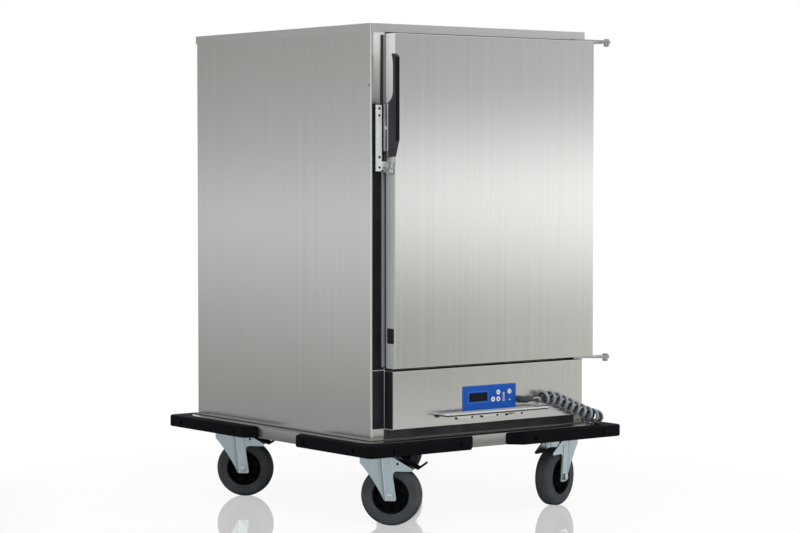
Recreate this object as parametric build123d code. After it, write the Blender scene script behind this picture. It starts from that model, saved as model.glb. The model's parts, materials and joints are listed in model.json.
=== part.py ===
from build123d import *
import math
import os

# Heated banquet trolley: an insulated stainless cabinet for GN 2/1 trays on four swivel casters.
# Millimetres. +Z is up, the door faces -Y and +X is the right side seen from the front.
# The origin lies on the floor under the middle of the bumper outline.

# Cabinet
CABINET_WIDTH = 686
CABINET_DEPTH = 782
CABINET_HEIGHT = 1012
SKIN = 1.2
LINER = 1.0
WALL = 45
REAR_RETURN = 20
FRONT_RETURN = 8
FRONT_BEND = 4
CAP_SHEET = 1.5
CAP_LIP = 21
CAP_PROUD = 3
CAP_FIT = 0.2
FRAME_DEPTH = 25
FRAME_SIDE = 58
OPENING_SILL = 21.5
OPENING_HEAD = 36

# Base and bumpers
BASE_HEIGHT = 34
RAIL_WIDTH = 40
RAIL_SHEET = 2.5
DECK_LIP = 7
BUMPER_OUT_SIDE = 66
BUMPER_OUT_FRONT = 86
BUMPER_OUT_REAR = 52
BUMPER_HEIGHT = 30
BUMPER_FRONT_LEG = 320
BUMPER_REAR_LEG = 320
BUMPER_SIDE_LEG_FRONT = 307
BUMPER_SIDE_LEG_REAR = 350
BUMPER_CORNER = 56
BUMPER_END = 10
BUMPER_EDGE = 4
RECESS_RADIUS = 7
RECESS_DEPTH = 9
RECESS_INSET = 70
SCREW_HEAD_RADIUS = 5.5
SCREW_HEAD = 4

# Casters
WHEEL_DIAMETER = 150
TYRE_WIDTH = 42
TYRE_EDGE = 13
HUB_RADIUS = 46
HUB_BOSS = 15
HUB_WEB = 12
HUB_GAP = 0.6
CASTER_INSET_SIDE = 35
CASTER_INSET_FRONT = 36
CASTER_INSET_REAR = 97
CASTER_TRAIL = 45
CROWN_GAP = 16
PLATE_X = 78
PLATE_Y = 78
PLATE_SHEET = 4
BOLT_X = 58
BOLT_Y = 58
BOLT_HEAD = 4.5
HEAD_RADIUS = 30
HEAD_HEIGHT = 6
KINGPIN_RADIUS = 6
KINGPIN_NUT = 10
FORK_SHEET = 3.5
FORK_GAP = 3
FORK_RIB = 2
FORK_BELOW_AXLE = 12
FORK_ROOT = 10
FORK_CHIN = 14
TAIL_UP = 61
TAIL_REACH = 58
TAIL_TIP = 5
CROWN_RADIUS = 30
AXLE_RADIUS = 5
AXLE_HEAD = 8.5
AXLE_HEAD_LENGTH = 6
FIT = 0.05
RUN_GAP = 0.5
PEDAL_T = 64
PEDAL_UP = 4
PEDAL_PIN = 3
PEDAL_GAP = 5
PEDAL_SHEET = 5

# Door, gasket and hinges
DOOR_LEFT_RIM = 42
DOOR_FRONT = 41
DOOR_GAP_BELOW = 6
DOOR_GAP_ABOVE = 4
DOOR_EDGE = 2
DOOR_FIELD = 4
GASKET = 5
GASKET_WIDTH = 28
GASKET_INSET = 3
SEAL_GAP = 0.3
HINGE_OUT = 55
HINGE_FORWARD = 27
HINGE_PIN = 4
HINGE_HEAD = 7
ARM_HALF = 10.5
ARM_SHEET = 4
ARM_REACH = 118
BRACKET_FLANGE = 3
BRACKET_DROP = 46
BRACKET_NEAR = 6
BRACKET_FAR = 62

# Latch
LATCH_SHEET = 3.6
LATCH_GAP = 0.4
LEVER_THICK = 11
LEVER_BOTTOM = 687
LEVER_TOP = 936
LEVER_BODY_TOP = 820
LEVER_CHAMFER = 44
LEVER_BACK = 33
LEVER_GRIP_BACK = 52
LEVER_FRONT = 65
LEVER_EDGE = 1.5
LEVER_HOOK = 6
PIVOT_FORWARD = 31.5
PIVOT_UP = 667.5
PIVOT_RADIUS = 5
EYE_RADIUS = 10
CLAW_OUTER = 21
CLAW_INNER = 14.5
TANG_HALF = 3
TANG_WIDTH = 10
TANG_LENGTH = 62
SLOT_FIT = 0.2
KEEPER_INSET = 13.4
KEEPER_WIDTH = 16
KEEPER_THICK = 6
KEEPER_BOTTOM = 654
KEEPER_TOP = 814
KEEPER_SCREWS = [663, 688, 789, 806]
KEEPER_NOSE = 3.5

# Control box
CONTROL_LEFT = 40
CONTROL_RIGHT = 32
CONTROL_BOTTOM = 24
CONTROL_HEIGHT = 143.5
CONTROL_DEPTH = 35
OVERLAY_WIDTH = 172
OVERLAY_HEIGHT = 62
OVERLAY_BOTTOM = 56.5
OVERLAY_SHEET = 1.2
DISPLAY_LEFT = -65
DISPLAY_WIDTH = 58
DISPLAY_BOTTOM = 79
DISPLAY_HEIGHT = 21
DISPLAY_FIT = 0.2
KEY_RADIUS = 6.2
KEY_HOLE = 6.5
KEY_PROUD = 0.8
KEY_FLANGE = 7.4
KEYS = {
    "key_up": (28.4, 98.3),
    "key_down": (11.5, 81.5),
    "key_set": (28.4, 81.5),
    "key_power": (64.8, 98.5),
}
BOARD_BEHIND = 17
BOARD_SHEET = 1.6
BOARD_HALF = 92
LOUVRE_LENGTH = 58
LOUVRE_PITCH = 81
LOUVRE_UP = 40.7
LOUVRE_HOLE = 3
LOUVRE_HOOD = 3
RAIL_HALF = 166
RAIL_UP = 55
RAIL_STAND = 41
RAIL_RADIUS = 4
RAIL_BEND = 14
RAIL_FOOT = 9
PLINTH_SHEET = 2

# Racks and warm-air system
RUNNER_COUNT = 10
RUNNER_PITCH = 72
RUNNER_FIRST = 34
RUNNER_LENGTH = 650
RUNNER_LEDGE = 18
RUNNER_LEG = 28
RUNNER_SHEET = 1.5
TRAY_CLEAR = 536
POST_WIDTH = 20
POST_FRONT = 13
POST_REAR = 30
FAN_Y = 150
FAN_RADIUS = 90
FAN_BLADES = 16
MOTOR_RADIUS = 45
MOTOR_HEIGHT = 60
SHAFT_RADIUS = 4
HEATER_RADIUS = 4
HEATER_PITCH = 40

# Curly cord, its gland and its parked plug
CORD_RADIUS = 4.25
COIL_RADIUS = 13.5
CURLS = 21
COIL_OUT = 24
COIL_LIFT = 0.8
GLAND_X = 96
GLAND_UP = 76
GLAND_RADIUS = 8
GLAND_NUT = 9
GLAND_BEND = 10
RELIEF = 20
PLUG_RADIUS = 17
PLUG_LENGTH = 40
PLUG_RELIEF = 22
PLUG_PIN = 2.4
PLUG_PIN_SPACING = 19
PLUG_BACK = 229
HOLDER_SHEET = 2

# Levels and faces that the pieces share
WHEEL_RADIUS = WHEEL_DIAMETER / 2
CASTER_HEIGHT = WHEEL_DIAMETER + CROWN_GAP + FORK_SHEET + RUN_GAP + HEAD_HEIGHT + PLATE_SHEET
Z_CABINET = CASTER_HEIGHT + BASE_HEIGHT
Z_TOP = Z_CABINET + CABINET_HEIGHT
Z_UNDER_CAP = Z_TOP - CAP_SHEET
X_SIDE = CABINET_WIDTH / 2
X_LINER = X_SIDE - WALL
Y_FRONT = -CABINET_DEPTH / 2 + (BUMPER_OUT_FRONT - BUMPER_OUT_REAR) / 2
Y_REAR = Y_FRONT + CABINET_DEPTH
Y_FRAME_BACK = Y_FRONT + FRAME_DEPTH
Y_LINER = Y_REAR - WALL
Z_CONTROL = Z_CABINET + CONTROL_BOTTOM
Z_CONTROL_TOP = Z_CONTROL + CONTROL_HEIGHT
Z_DOOR = Z_CONTROL_TOP + DOOR_GAP_BELOW
Z_DOOR_TOP = Z_TOP - CAP_LIP - DOOR_GAP_ABOVE
Z_SILL = Z_DOOR + OPENING_SILL
Z_HEAD = Z_DOOR_TOP - OPENING_HEAD
X_OPENING = X_SIDE - FRAME_SIDE
X_DOOR_LEFT = -X_SIDE + DOOR_LEFT_RIM
Y_DOOR_BACK = Y_FRONT - GASKET - SEAL_GAP
Y_DOOR_FRONT = Y_FRONT - DOOR_FRONT
Y_CONTROL = Y_FRONT - CONTROL_DEPTH
X_CONTROL_LEFT = -X_SIDE + CONTROL_LEFT
X_CONTROL_RIGHT = X_SIDE - CONTROL_RIGHT
HINGE_X = X_SIDE + HINGE_OUT
HINGE_Y = Y_FRONT - HINGE_FORWARD
PIVOT_Y = Y_FRONT - PIVOT_FORWARD
PIVOT_Z = Z_CABINET + PIVOT_UP
LEVER_X = X_DOOR_LEFT - LATCH_SHEET - LATCH_GAP
CASTER_X = X_SIDE - CASTER_INSET_SIDE
CASTER_Y_FRONT = Y_FRONT + CASTER_INSET_FRONT
CASTER_Y_REAR = Y_REAR - CASTER_INSET_REAR
FORK_INSIDE = TYRE_WIDTH / 2 + FORK_GAP
HUB_HALF = FORK_INSIDE - HUB_GAP
PEDAL_HALF = FORK_INSIDE - PEDAL_GAP
PEDAL_Z = WHEEL_DIAMETER + PEDAL_UP
PLATE_BOTTOM = CASTER_HEIGHT - PLATE_SHEET
CROWN_TOP = PLATE_BOTTOM - HEAD_HEIGHT - RUN_GAP
BUMPER_TOP = CASTER_HEIGHT + BUMPER_HEIGHT
MIDDLE_MIN = (Align.CENTER, Align.CENTER, Align.MIN)

# Name, side of X, Y of the swivel, turn of the trailing side from +X, pedal
CASTERS = [
    ("front_left", -1, CASTER_Y_FRONT, -47, True),
    ("front_right", 1, CASTER_Y_FRONT, -160, False),
    ("rear_left", -1, CASTER_Y_REAR, -47, True),
    ("rear_right", 1, CASTER_Y_REAR, 143, False),
]


def block(low, high):
    """Box between two opposite corners."""
    size = [high[i] - low[i] for i in range(3)]
    middle = [(high[i] + low[i]) / 2 for i in range(3)]
    return Pos(*middle) * Box(*size)


def rod(radius, start, end):
    """Round bar between two points."""
    axis = Vector(*end) - Vector(*start)
    return Plane(origin=start, z_dir=axis) * Cylinder(radius, axis.length, align=MIDDLE_MIN)


def taper(first, last, start, end):
    """Round bar whose radius runs from first to last."""
    axis = Vector(*end) - Vector(*start)
    return Plane(origin=start, z_dir=axis) * Cone(first, last, axis.length, align=MIDDLE_MIN)


def rectangle(low, high):
    """Flat rectangle between two opposite corners of a sketch plane."""
    middle = Pos((low[0] + high[0]) / 2, (low[1] + high[1]) / 2)
    return middle * Rectangle(high[0] - low[0], high[1] - low[1])


def front_plate(outline, y_back, thickness):
    """Outline drawn in X and Z, raised from y_back towards the front."""
    return extrude(Plane.XZ.offset(-y_back) * outline, thickness, dir=(0, -1, 0))


def side_plate(outline, x_left, thickness):
    """Outline drawn in Y and Z, raised from x_left towards +X."""
    return extrude(Plane.YZ.offset(x_left) * outline, thickness, dir=(1, 0, 0))


def flat_plate(outline, z_low, thickness):
    """Outline drawn in X and Y, raised from z_low."""
    return extrude(Plane.XY.offset(z_low) * outline, thickness, dir=(0, 0, 1))


def group(shapes):
    """Separate solids kept side by side in one node."""
    return Compound(children=[solid for shape in shapes for solid in shape.solids()])


# Cabinet shell


def base_frame():
    """Ring of C-section rail, a deck with a lip round the cabinet, and corner plates for the casters."""
    low = (-X_SIDE, Y_FRONT)
    high = (X_SIDE, Y_REAR)
    inner_low = (low[0] + RAIL_WIDTH, low[1] + RAIL_WIDTH)
    inner_high = (high[0] - RAIL_WIDTH, high[1] - RAIL_WIDTH)
    web_low = (low[0] + RAIL_SHEET, low[1] + RAIL_SHEET)
    web_high = (high[0] - RAIL_SHEET, high[1] - RAIL_SHEET)
    rail = flat_plate(rectangle(low, high) - rectangle(inner_low, inner_high), CASTER_HEIGHT, BASE_HEIGHT)
    pocket = flat_plate(rectangle(web_low, web_high), CASTER_HEIGHT + RAIL_SHEET, BASE_HEIGHT - 2 * RAIL_SHEET)
    lip_low = (low[0] - DECK_LIP, low[1] - DECK_LIP)
    lip_high = (high[0] + DECK_LIP, high[1] + DECK_LIP)
    deck = flat_plate(rectangle(lip_low, lip_high), Z_CABINET - RAIL_SHEET, RAIL_SHEET)
    frame = rail - pocket + deck
    for _, side, y_swivel, _, _ in CASTERS:
        x_inner = CASTER_X - PLATE_X / 2
        near = max(Y_FRONT, y_swivel - PLATE_Y / 2)
        far = min(Y_REAR, y_swivel + PLATE_Y / 2)
        x_low = min(side * x_inner, side * (X_SIDE - RAIL_SHEET))
        x_high = max(side * x_inner, side * (X_SIDE - RAIL_SHEET))
        frame += block((x_low, near, CASTER_HEIGHT), (x_high, far, CASTER_HEIGHT + RAIL_SHEET))
    return frame


def side_wall(side):
    """Flat side sheet with a folded return round the front and the rear corner."""
    outline = rectangle((X_SIDE - SKIN, Y_FRONT), (X_SIDE, Y_REAR))
    outline += rectangle((X_SIDE - FRONT_RETURN, Y_FRONT), (X_SIDE, Y_FRONT + SKIN))
    outline += rectangle((X_SIDE - REAR_RETURN, Y_REAR - SKIN), (X_SIDE, Y_REAR))
    wall = flat_plate(outline, Z_CABINET, Z_UNDER_CAP - Z_CABINET)
    bends = (
        (X_SIDE, Y_REAR, SKIN),
        (X_SIDE - SKIN, Y_FRONT + SKIN, FRONT_BEND - SKIN),
        (X_SIDE, Y_FRONT, FRONT_BEND),
    )
    for x, y, radius in bends:
        wall = fillet(wall.edges().filter_by(Axis.Z).sort_by_distance((x, y, Z_TOP))[0], radius)
    if side < 0:
        return mirror(wall, Plane.YZ)
    return wall


def rear_wall():
    """Rear sheet behind the two returns."""
    x_edge = X_SIDE - SKIN
    y_face = Y_REAR - SKIN
    return block((-x_edge, y_face - SKIN, Z_CABINET), (x_edge, y_face, Z_UNDER_CAP))


def top_cap():
    """Shallow lid whose lip stands a little proud of the walls."""
    outer = rectangle((-X_SIDE - CAP_PROUD, Y_FRONT - CAP_PROUD), (X_SIDE + CAP_PROUD, Y_REAR + CAP_PROUD))
    inner = rectangle((-X_SIDE - CAP_FIT, Y_FRONT - CAP_FIT), (X_SIDE + CAP_FIT, Y_REAR + CAP_FIT))
    lid = flat_plate(outer, Z_TOP - CAP_LIP, CAP_LIP)
    lid = fillet(lid.edges().filter_by(Axis.Z), CAP_PROUD)
    lid = fillet(lid.edges().group_by(Axis.Z)[-1], CAP_SHEET)
    return lid - flat_plate(inner, Z_TOP - CAP_LIP, CAP_LIP - CAP_SHEET)


def front_frame():
    """Front frame with the door opening, the opening behind the control box and rebates for the walls' folds."""
    x_edge = X_SIDE - SKIN
    outline = rectangle((-x_edge, Z_CABINET), (x_edge, Z_UNDER_CAP))
    outline -= rectangle((-X_OPENING, Z_SILL), (X_OPENING, Z_HEAD))
    inset = FRAME_DEPTH / 3
    service_low = (X_CONTROL_LEFT + inset, Z_CONTROL + inset)
    service_high = (X_CONTROL_RIGHT - inset, Z_CONTROL_TOP - inset)
    outline -= rectangle(service_low, service_high)
    frame = front_plate(outline, Y_FRAME_BACK, FRAME_DEPTH)
    y_rebate = Y_FRONT + SKIN
    for side in (-1, 1):
        x_low, x_high = sorted((side * (X_SIDE - FRONT_RETURN), side * X_SIDE))
        frame -= block((x_low, Y_FRONT, Z_CABINET), (x_high, y_rebate, Z_UNDER_CAP))
        corner = frame.edges().filter_by(Axis.Z).sort_by_distance((side * x_edge, y_rebate, Z_TOP))[0]
        frame = fillet(corner, FRONT_BEND - SKIN)
    return frame


def plinth_strip():
    """Black strip on the frame under the control box."""
    low = (X_CONTROL_LEFT, Z_CABINET + SEAL_GAP)
    high = (X_CONTROL_RIGHT, Z_CONTROL - SEAL_GAP)
    return front_plate(rectangle(low, high), Y_FRONT, PLINTH_SHEET)


def door_gasket():
    """Rubber ring on the frame that the door closes on."""
    x_edge = X_OPENING + GASKET_WIDTH
    outline = rectangle((-x_edge, Z_DOOR + GASKET_INSET), (x_edge, Z_DOOR_TOP - GASKET_INSET))
    outline -= rectangle((-X_OPENING, Z_SILL), (X_OPENING, Z_HEAD))
    ring = front_plate(outline, Y_FRONT, GASKET)
    return fillet(ring.edges().group_by(Axis.Y)[0], GASKET / 3)


def wall_insulation():
    """Foam slabs between the outer sheets and the liner."""
    x_out = X_SIDE - SKIN
    x_in = X_LINER + LINER
    y_out = Y_REAR - 2 * SKIN
    z_ceiling = Z_HEAD + LINER
    left = block((-x_out, Y_FRAME_BACK, Z_CABINET), (-x_in, y_out, Z_UNDER_CAP))
    right = mirror(left, Plane.YZ)
    rear = block((-x_in, Y_LINER + LINER, Z_CABINET), (x_in, y_out, z_ceiling))
    top = block((-x_in, Y_FRAME_BACK, z_ceiling), (x_in, y_out, Z_UNDER_CAP))
    return group([left, right, rear, top])


def liner_sides():
    """Two inner side sheets."""
    left = block((-X_LINER - LINER, Y_FRAME_BACK, Z_SILL), (-X_LINER, Y_LINER, Z_HEAD))
    return group([left, mirror(left, Plane.YZ)])


def liner_rear():
    """Inner rear sheet."""
    x_edge = X_LINER + LINER
    return block((-x_edge, Y_LINER, Z_SILL), (x_edge, Y_LINER + LINER, Z_HEAD))


def liner_ceiling():
    """Inner top sheet."""
    x_edge = X_LINER + LINER
    return block((-x_edge, Y_FRAME_BACK, Z_HEAD), (x_edge, Y_LINER + LINER, Z_HEAD + LINER))


def liner_floor():
    """Inner floor sheet with a slotted intake over the fan and an outlet at the rear."""
    x_edge = X_LINER + LINER
    sheet = rectangle((-x_edge, Y_FRAME_BACK), (x_edge, Y_LINER + LINER))
    slot = SlotOverall(FAN_RADIUS, 8)
    intake = GridLocations(FAN_RADIUS * 1.2, 20, 2, 7)
    outlet = GridLocations(FAN_RADIUS * 1.2, 0, 4, 1)
    sheet -= [Pos(0, FAN_Y) * place * slot for place in intake]
    sheet -= [Pos(0, Y_LINER - POST_WIDTH) * place * slot for place in outlet]
    return flat_plate(sheet, Z_SILL - LINER, LINER)


# Racks and warm-air system


def tray_racks():
    """Four posts and the angle runners that carry the trays."""
    x_leg = TRAY_CLEAR / 2
    y_low = Y_LINER - POST_REAR / 2 - RUNNER_LENGTH
    leg = rectangle((x_leg, -RUNNER_LEG), (x_leg + RUNNER_SHEET, 0))
    ledge = rectangle((x_leg - RUNNER_LEDGE, -RUNNER_SHEET), (x_leg, 0))
    profile = leg + ledge
    pieces = []
    for y_post in (y_low + POST_FRONT, Y_LINER - POST_REAR - POST_WIDTH):
        low = (x_leg + RUNNER_SHEET, y_post, Z_SILL)
        pieces.append(block(low, (X_LINER, y_post + POST_WIDTH, Z_HEAD)))
    for level in range(RUNNER_COUNT):
        z_ledge = Z_SILL + RUNNER_FIRST + level * RUNNER_PITCH
        pieces.append(Pos(0, 0, z_ledge) * front_plate(profile, y_low + RUNNER_LENGTH, RUNNER_LENGTH))
    return group(pieces + [mirror(piece, Plane.YZ) for piece in pieces])


def heater_element():
    """Sheathed hairpin heater on its flange, which stands on the deck."""
    y_flange = FAN_Y - 300
    y_far = FAN_Y + 60
    y_near = y_flange + HEATER_PITCH
    z_tube = Z_CABINET + 90
    x_first = -X_LINER + 2 * HEATER_PITCH
    xs = [x_first + i * HEATER_PITCH for i in range(4)]
    route = [
        (xs[0], y_flange, z_tube),
        (xs[0], y_far, z_tube),
        (xs[1], y_far, z_tube),
        (xs[1], y_near, z_tube),
        (xs[2], y_near, z_tube),
        (xs[2], y_far, z_tube),
        (xs[3], y_far, z_tube),
        (xs[3], y_flange, z_tube),
    ]
    path = FilletPolyline(*route, radius=HEATER_PITCH * 0.48)
    tube = sweep(Plane(origin=route[0], z_dir=(0, 1, 0)) * Circle(HEATER_RADIUS), path=path)
    low = (xs[0] - HEATER_PITCH / 2, y_flange - 2 * LINER, Z_CABINET)
    flange = block(low, (xs[3] + HEATER_PITCH / 2, y_flange + LINER, z_tube + HEATER_PITCH / 2))
    return tube + flange


def fan_motor():
    """Round motor on the deck with its shaft upwards."""
    top = Z_CABINET + MOTOR_HEIGHT
    body = rod(MOTOR_RADIUS, (0, FAN_Y, Z_CABINET), (0, FAN_Y, top))
    body = fillet(body.edges().group_by(Axis.Z)[-1], MOTOR_RADIUS / 6)
    return body + rod(SHAFT_RADIUS, (0, FAN_Y, top), (0, FAN_Y, top + MOTOR_HEIGHT))


def fan_wheel():
    """Radial fan: hub, back plate and straight backward blades."""
    z_low = Z_CABINET + MOTOR_HEIGHT + 4 * RUN_GAP
    hub = rod(3 * SHAFT_RADIUS, (0, 0, 0), (0, 0, MOTOR_HEIGHT / 2))
    wheel = hub + Cylinder(FAN_RADIUS, LINER, align=MIDDLE_MIN)
    blade = Pos(FAN_RADIUS * 0.78, 0, LINER) * Rot(0, 0, 35) * Box(
        FAN_RADIUS * 0.45, LINER, MOTOR_HEIGHT / 2 - LINER, align=MIDDLE_MIN
    )
    wheel += [place * blade for place in PolarLocations(0, FAN_BLADES)]
    wheel -= Cylinder(SHAFT_RADIUS + FIT, 3 * MOTOR_HEIGHT)
    return Pos(0, FAN_Y, z_low) * wheel


def temperature_probe():
    """Short sensor rod on a flange behind the right rear post."""
    x_mid = X_LINER - POST_REAR / 2
    z_mid = Z_HEAD - 2 * RUNNER_PITCH
    y_tip = Y_LINER - POST_REAR * 0.8
    rod_part = rod(3, (x_mid, Y_LINER, z_mid), (x_mid, y_tip, z_mid))
    return rod_part + rod(8, (x_mid, Y_LINER, z_mid), (x_mid, Y_LINER - 3, z_mid))


# Control box


def louvre(x_mid):
    """Cut of one vent louvre: a slit with a round relief hole at each end."""
    z_mid = Z_CABINET + LOUVRE_UP
    end = LOUVRE_LENGTH / 2 - LOUVRE_HOLE
    cut = rectangle((x_mid - end, z_mid - LOUVRE_HOLE), (x_mid + end, z_mid))
    cut += Pos(x_mid - end, z_mid) * Circle(LOUVRE_HOLE)
    return cut + Pos(x_mid + end, z_mid) * Circle(LOUVRE_HOLE)


def louvre_hood(x_mid):
    """Pressed hood over the slit of one louvre."""
    z_mid = Z_CABINET + LOUVRE_UP
    end = LOUVRE_LENGTH / 2 - 2.5 * LOUVRE_HOLE
    y_out = Y_CONTROL - LOUVRE_HOOD
    section = Polygon(
        (Y_CONTROL, z_mid + LOUVRE_HOOD),
        (y_out, z_mid),
        (y_out, z_mid - LOUVRE_HOOD),
        (y_out + SKIN, z_mid - LOUVRE_HOOD),
        (Y_CONTROL, z_mid + LOUVRE_HOOD / 3),
        align=None,
    )
    return side_plate(section, x_mid - end, 2 * end)


def control_cover():
    """Folded pan under the door, with cut-outs for the controls, gland and louvres."""
    low = (X_CONTROL_LEFT, Y_CONTROL, Z_CONTROL)
    high = (X_CONTROL_RIGHT, Y_FRONT, Z_CONTROL_TOP)
    pan = block(low, high)
    pan = fillet(pan.edges().group_by(Axis.Y)[0], DOOR_EDGE)
    pan -= block((low[0] + SKIN, low[1] + SKIN, low[2] + SKIN), (high[0] - SKIN, high[1], high[2] - SKIN))
    cuts = display_outline(DISPLAY_FIT)
    for x_key, z_key in KEYS.values():
        cuts += Pos(x_key, Z_CABINET + z_key) * Circle(KEY_HOLE)
    cuts += Pos(GLAND_X, Z_CABINET + GLAND_UP) * Circle(GLAND_RADIUS)
    hoods = []
    for step in (-1, 0, 1):
        cuts += louvre(step * LOUVRE_PITCH)
        hoods.append(louvre_hood(step * LOUVRE_PITCH))
    return pan - front_plate(cuts, Y_CONTROL + 2 * SKIN, 4 * SKIN) + hoods


def display_outline(grow):
    """Rectangle of the display window, grown all round."""
    z_low = Z_CABINET + DISPLAY_BOTTOM
    low = (DISPLAY_LEFT - grow, z_low - grow)
    return rectangle(low, (DISPLAY_LEFT + DISPLAY_WIDTH + grow, z_low + DISPLAY_HEIGHT + grow))


def control_overlay():
    """Thin front plate of the controls with holes for the display and the keys."""
    z_low = Z_CABINET + OVERLAY_BOTTOM
    outline = RectangleRounded(OVERLAY_WIDTH, OVERLAY_HEIGHT, DOOR_EDGE)
    outline = Pos(0, z_low + OVERLAY_HEIGHT / 2) * outline - display_outline(DISPLAY_FIT)
    for x_key, z_key in KEYS.values():
        outline -= Pos(x_key, Z_CABINET + z_key) * Circle(KEY_HOLE)
    return front_plate(outline, Y_CONTROL, OVERLAY_SHEET)


def display_window():
    """Dark lens in the overlay, held by a rim behind the cover."""
    y_inside = Y_CONTROL + SKIN
    lens = front_plate(display_outline(0), y_inside, SKIN + OVERLAY_SHEET - DISPLAY_FIT)
    return lens + front_plate(display_outline(2), y_inside + SKIN, SKIN)


def key(x_key, z_key):
    """Round key with a flange behind the cover and a stem to its switch."""
    y_face = Y_CONTROL - OVERLAY_SHEET - KEY_PROUD
    y_inside = Y_CONTROL + SKIN + LATCH_GAP
    y_stem = Y_CONTROL + BOARD_BEHIND - 7
    z_mid = Z_CABINET + z_key
    cap = rod(KEY_RADIUS, (x_key, y_inside, z_mid), (x_key, y_face, z_mid))
    cap = fillet(cap.edges().group_by(Axis.Y)[0], KEY_PROUD / 2)
    flange = rod(KEY_FLANGE, (x_key, y_inside, z_mid), (x_key, y_inside + SKIN, z_mid))
    return cap + flange + rod(2, (x_key, y_inside, z_mid), (x_key, y_stem, z_mid))


def controller_board():
    """Circuit board on stand-offs behind the controls, with key switches and a relay block."""
    y_board = Y_CONTROL + BOARD_BEHIND
    z_low = Z_CABINET + OVERLAY_BOTTOM
    z_high = z_low + OVERLAY_HEIGHT
    board = block((-BOARD_HALF, y_board, z_low), (BOARD_HALF, y_board + BOARD_SHEET, z_high))
    for x_key, z_key in KEYS.values():
        z_mid = Z_CABINET + z_key
        board += block((x_key - 3, y_board - 5, z_mid - 3), (x_key + 3, y_board, z_mid + 3))
    for side in (-1, 1):
        for z_mid in (z_low + 6, z_high - 6):
            x_mid = side * (BOARD_HALF - 5)
            board += rod(3, (x_mid, Y_CONTROL + SKIN, z_mid), (x_mid, y_board, z_mid))
    relay = block((-60, y_board + BOARD_SHEET, z_low + 10), (-10, y_board + 14, z_high - 10))
    return board + relay


def guard_rail():
    """Bent round bar in front of the controls, on two welded feet."""
    z_rail = Z_CABINET + RAIL_UP
    y_bar = Y_CONTROL - RAIL_STAND
    route = [
        (-RAIL_HALF, Y_CONTROL, z_rail),
        (-RAIL_HALF, y_bar, z_rail),
        (RAIL_HALF, y_bar, z_rail),
        (RAIL_HALF, Y_CONTROL, z_rail),
    ]
    path = FilletPolyline(*route, radius=RAIL_BEND)
    rail = sweep(Plane(origin=route[0], z_dir=(0, -1, 0)) * Circle(RAIL_RADIUS), path=path)
    for x_foot in (-RAIL_HALF, RAIL_HALF):
        rail += rod(RAIL_FOOT, (x_foot, Y_CONTROL, z_rail), (x_foot, Y_CONTROL - 2, z_rail))
    return rail


# Door, hinges and latch


def door_skin():
    """Outer pan of the door, folded back on all four sides."""
    low = (X_DOOR_LEFT, Y_DOOR_FRONT, Z_DOOR)
    high = (X_SIDE, Y_DOOR_BACK, Z_DOOR_TOP)
    pan = block(low, high)
    pan = fillet(pan.edges().group_by(Axis.Y)[0], DOOR_EDGE)
    return pan - block((low[0] + SKIN, low[1] + SKIN, low[2] + SKIN), (high[0] - SKIN, high[1], high[2] - SKIN))


def door_inner():
    """Inner sheet of the door with a raised field that faces the opening."""
    sheet = block((X_DOOR_LEFT + SKIN, Y_DOOR_BACK - LINER, Z_DOOR + SKIN),
                  (X_SIDE - SKIN, Y_DOOR_BACK, Z_DOOR_TOP - SKIN))
    edge = 2 * GASKET
    field = rectangle((-X_OPENING + edge, Z_SILL + edge), (X_OPENING - edge, Z_HEAD - edge))
    raised = extrude(Plane.XZ.offset(-Y_DOOR_BACK) * field, -DOOR_FIELD, taper=20)
    hollow = extrude(Plane.XZ.offset(LINER - Y_DOOR_BACK) * field, -DOOR_FIELD, taper=20)
    return sheet + raised - hollow


def door_insulation():
    """Foam slab that fills the door."""
    low = (X_DOOR_LEFT + SKIN, Y_DOOR_FRONT + SKIN, Z_DOOR + SKIN)
    return block(low, (X_SIDE - SKIN, Y_DOOR_BACK - LINER, Z_DOOR_TOP - SKIN))


def hinge_arms():
    """Flat arms on the top and bottom edge of the door, each with an eye for its pin."""
    bar = rectangle((HINGE_X - ARM_REACH, HINGE_Y - ARM_HALF), (HINGE_X, HINGE_Y + ARM_HALF))
    bar += Pos(HINGE_X, HINGE_Y) * Circle(ARM_HALF)
    bar -= Pos(HINGE_X, HINGE_Y) * Circle(HINGE_PIN + FIT)
    upper = flat_plate(bar, Z_DOOR_TOP, ARM_SHEET)
    lower = flat_plate(bar, Z_DOOR - ARM_SHEET, ARM_SHEET)
    return group([upper, lower])


def hinge_bracket(z_arm):
    """Angle on the right wall that carries a riveted pin under one arm."""
    z_plate = z_arm - RUN_GAP - ARM_SHEET
    wall_side = rectangle((X_SIDE, Y_FRONT + BRACKET_NEAR), (X_SIDE + BRACKET_FLANGE, Y_FRONT + BRACKET_FAR))
    outline = wall_side + Pos(HINGE_X, HINGE_Y) * Circle(ARM_HALF)
    plate = flat_plate(make_hull(outline.edges()), z_plate, ARM_SHEET)
    flange = flat_plate(wall_side, z_plate + ARM_SHEET - BRACKET_DROP, BRACKET_DROP)
    z_head = z_arm + ARM_SHEET + RUN_GAP
    pin = rod(HINGE_PIN, (HINGE_X, HINGE_Y, z_plate - 8), (HINGE_X, HINGE_Y, z_head))
    head = rod(HINGE_HEAD, (HINGE_X, HINGE_Y, z_head), (HINGE_X, HINGE_Y, z_head + 3))
    nut = rod(HINGE_HEAD, (HINGE_X, HINGE_Y, z_plate - 7), (HINGE_X, HINGE_Y, z_plate))
    return plate + flange + pin + head + nut


def hinge_brackets():
    """Upper and lower hinge bracket."""
    return group([hinge_bracket(Z_DOOR_TOP), hinge_bracket(Z_DOOR - ARM_SHEET)])


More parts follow.
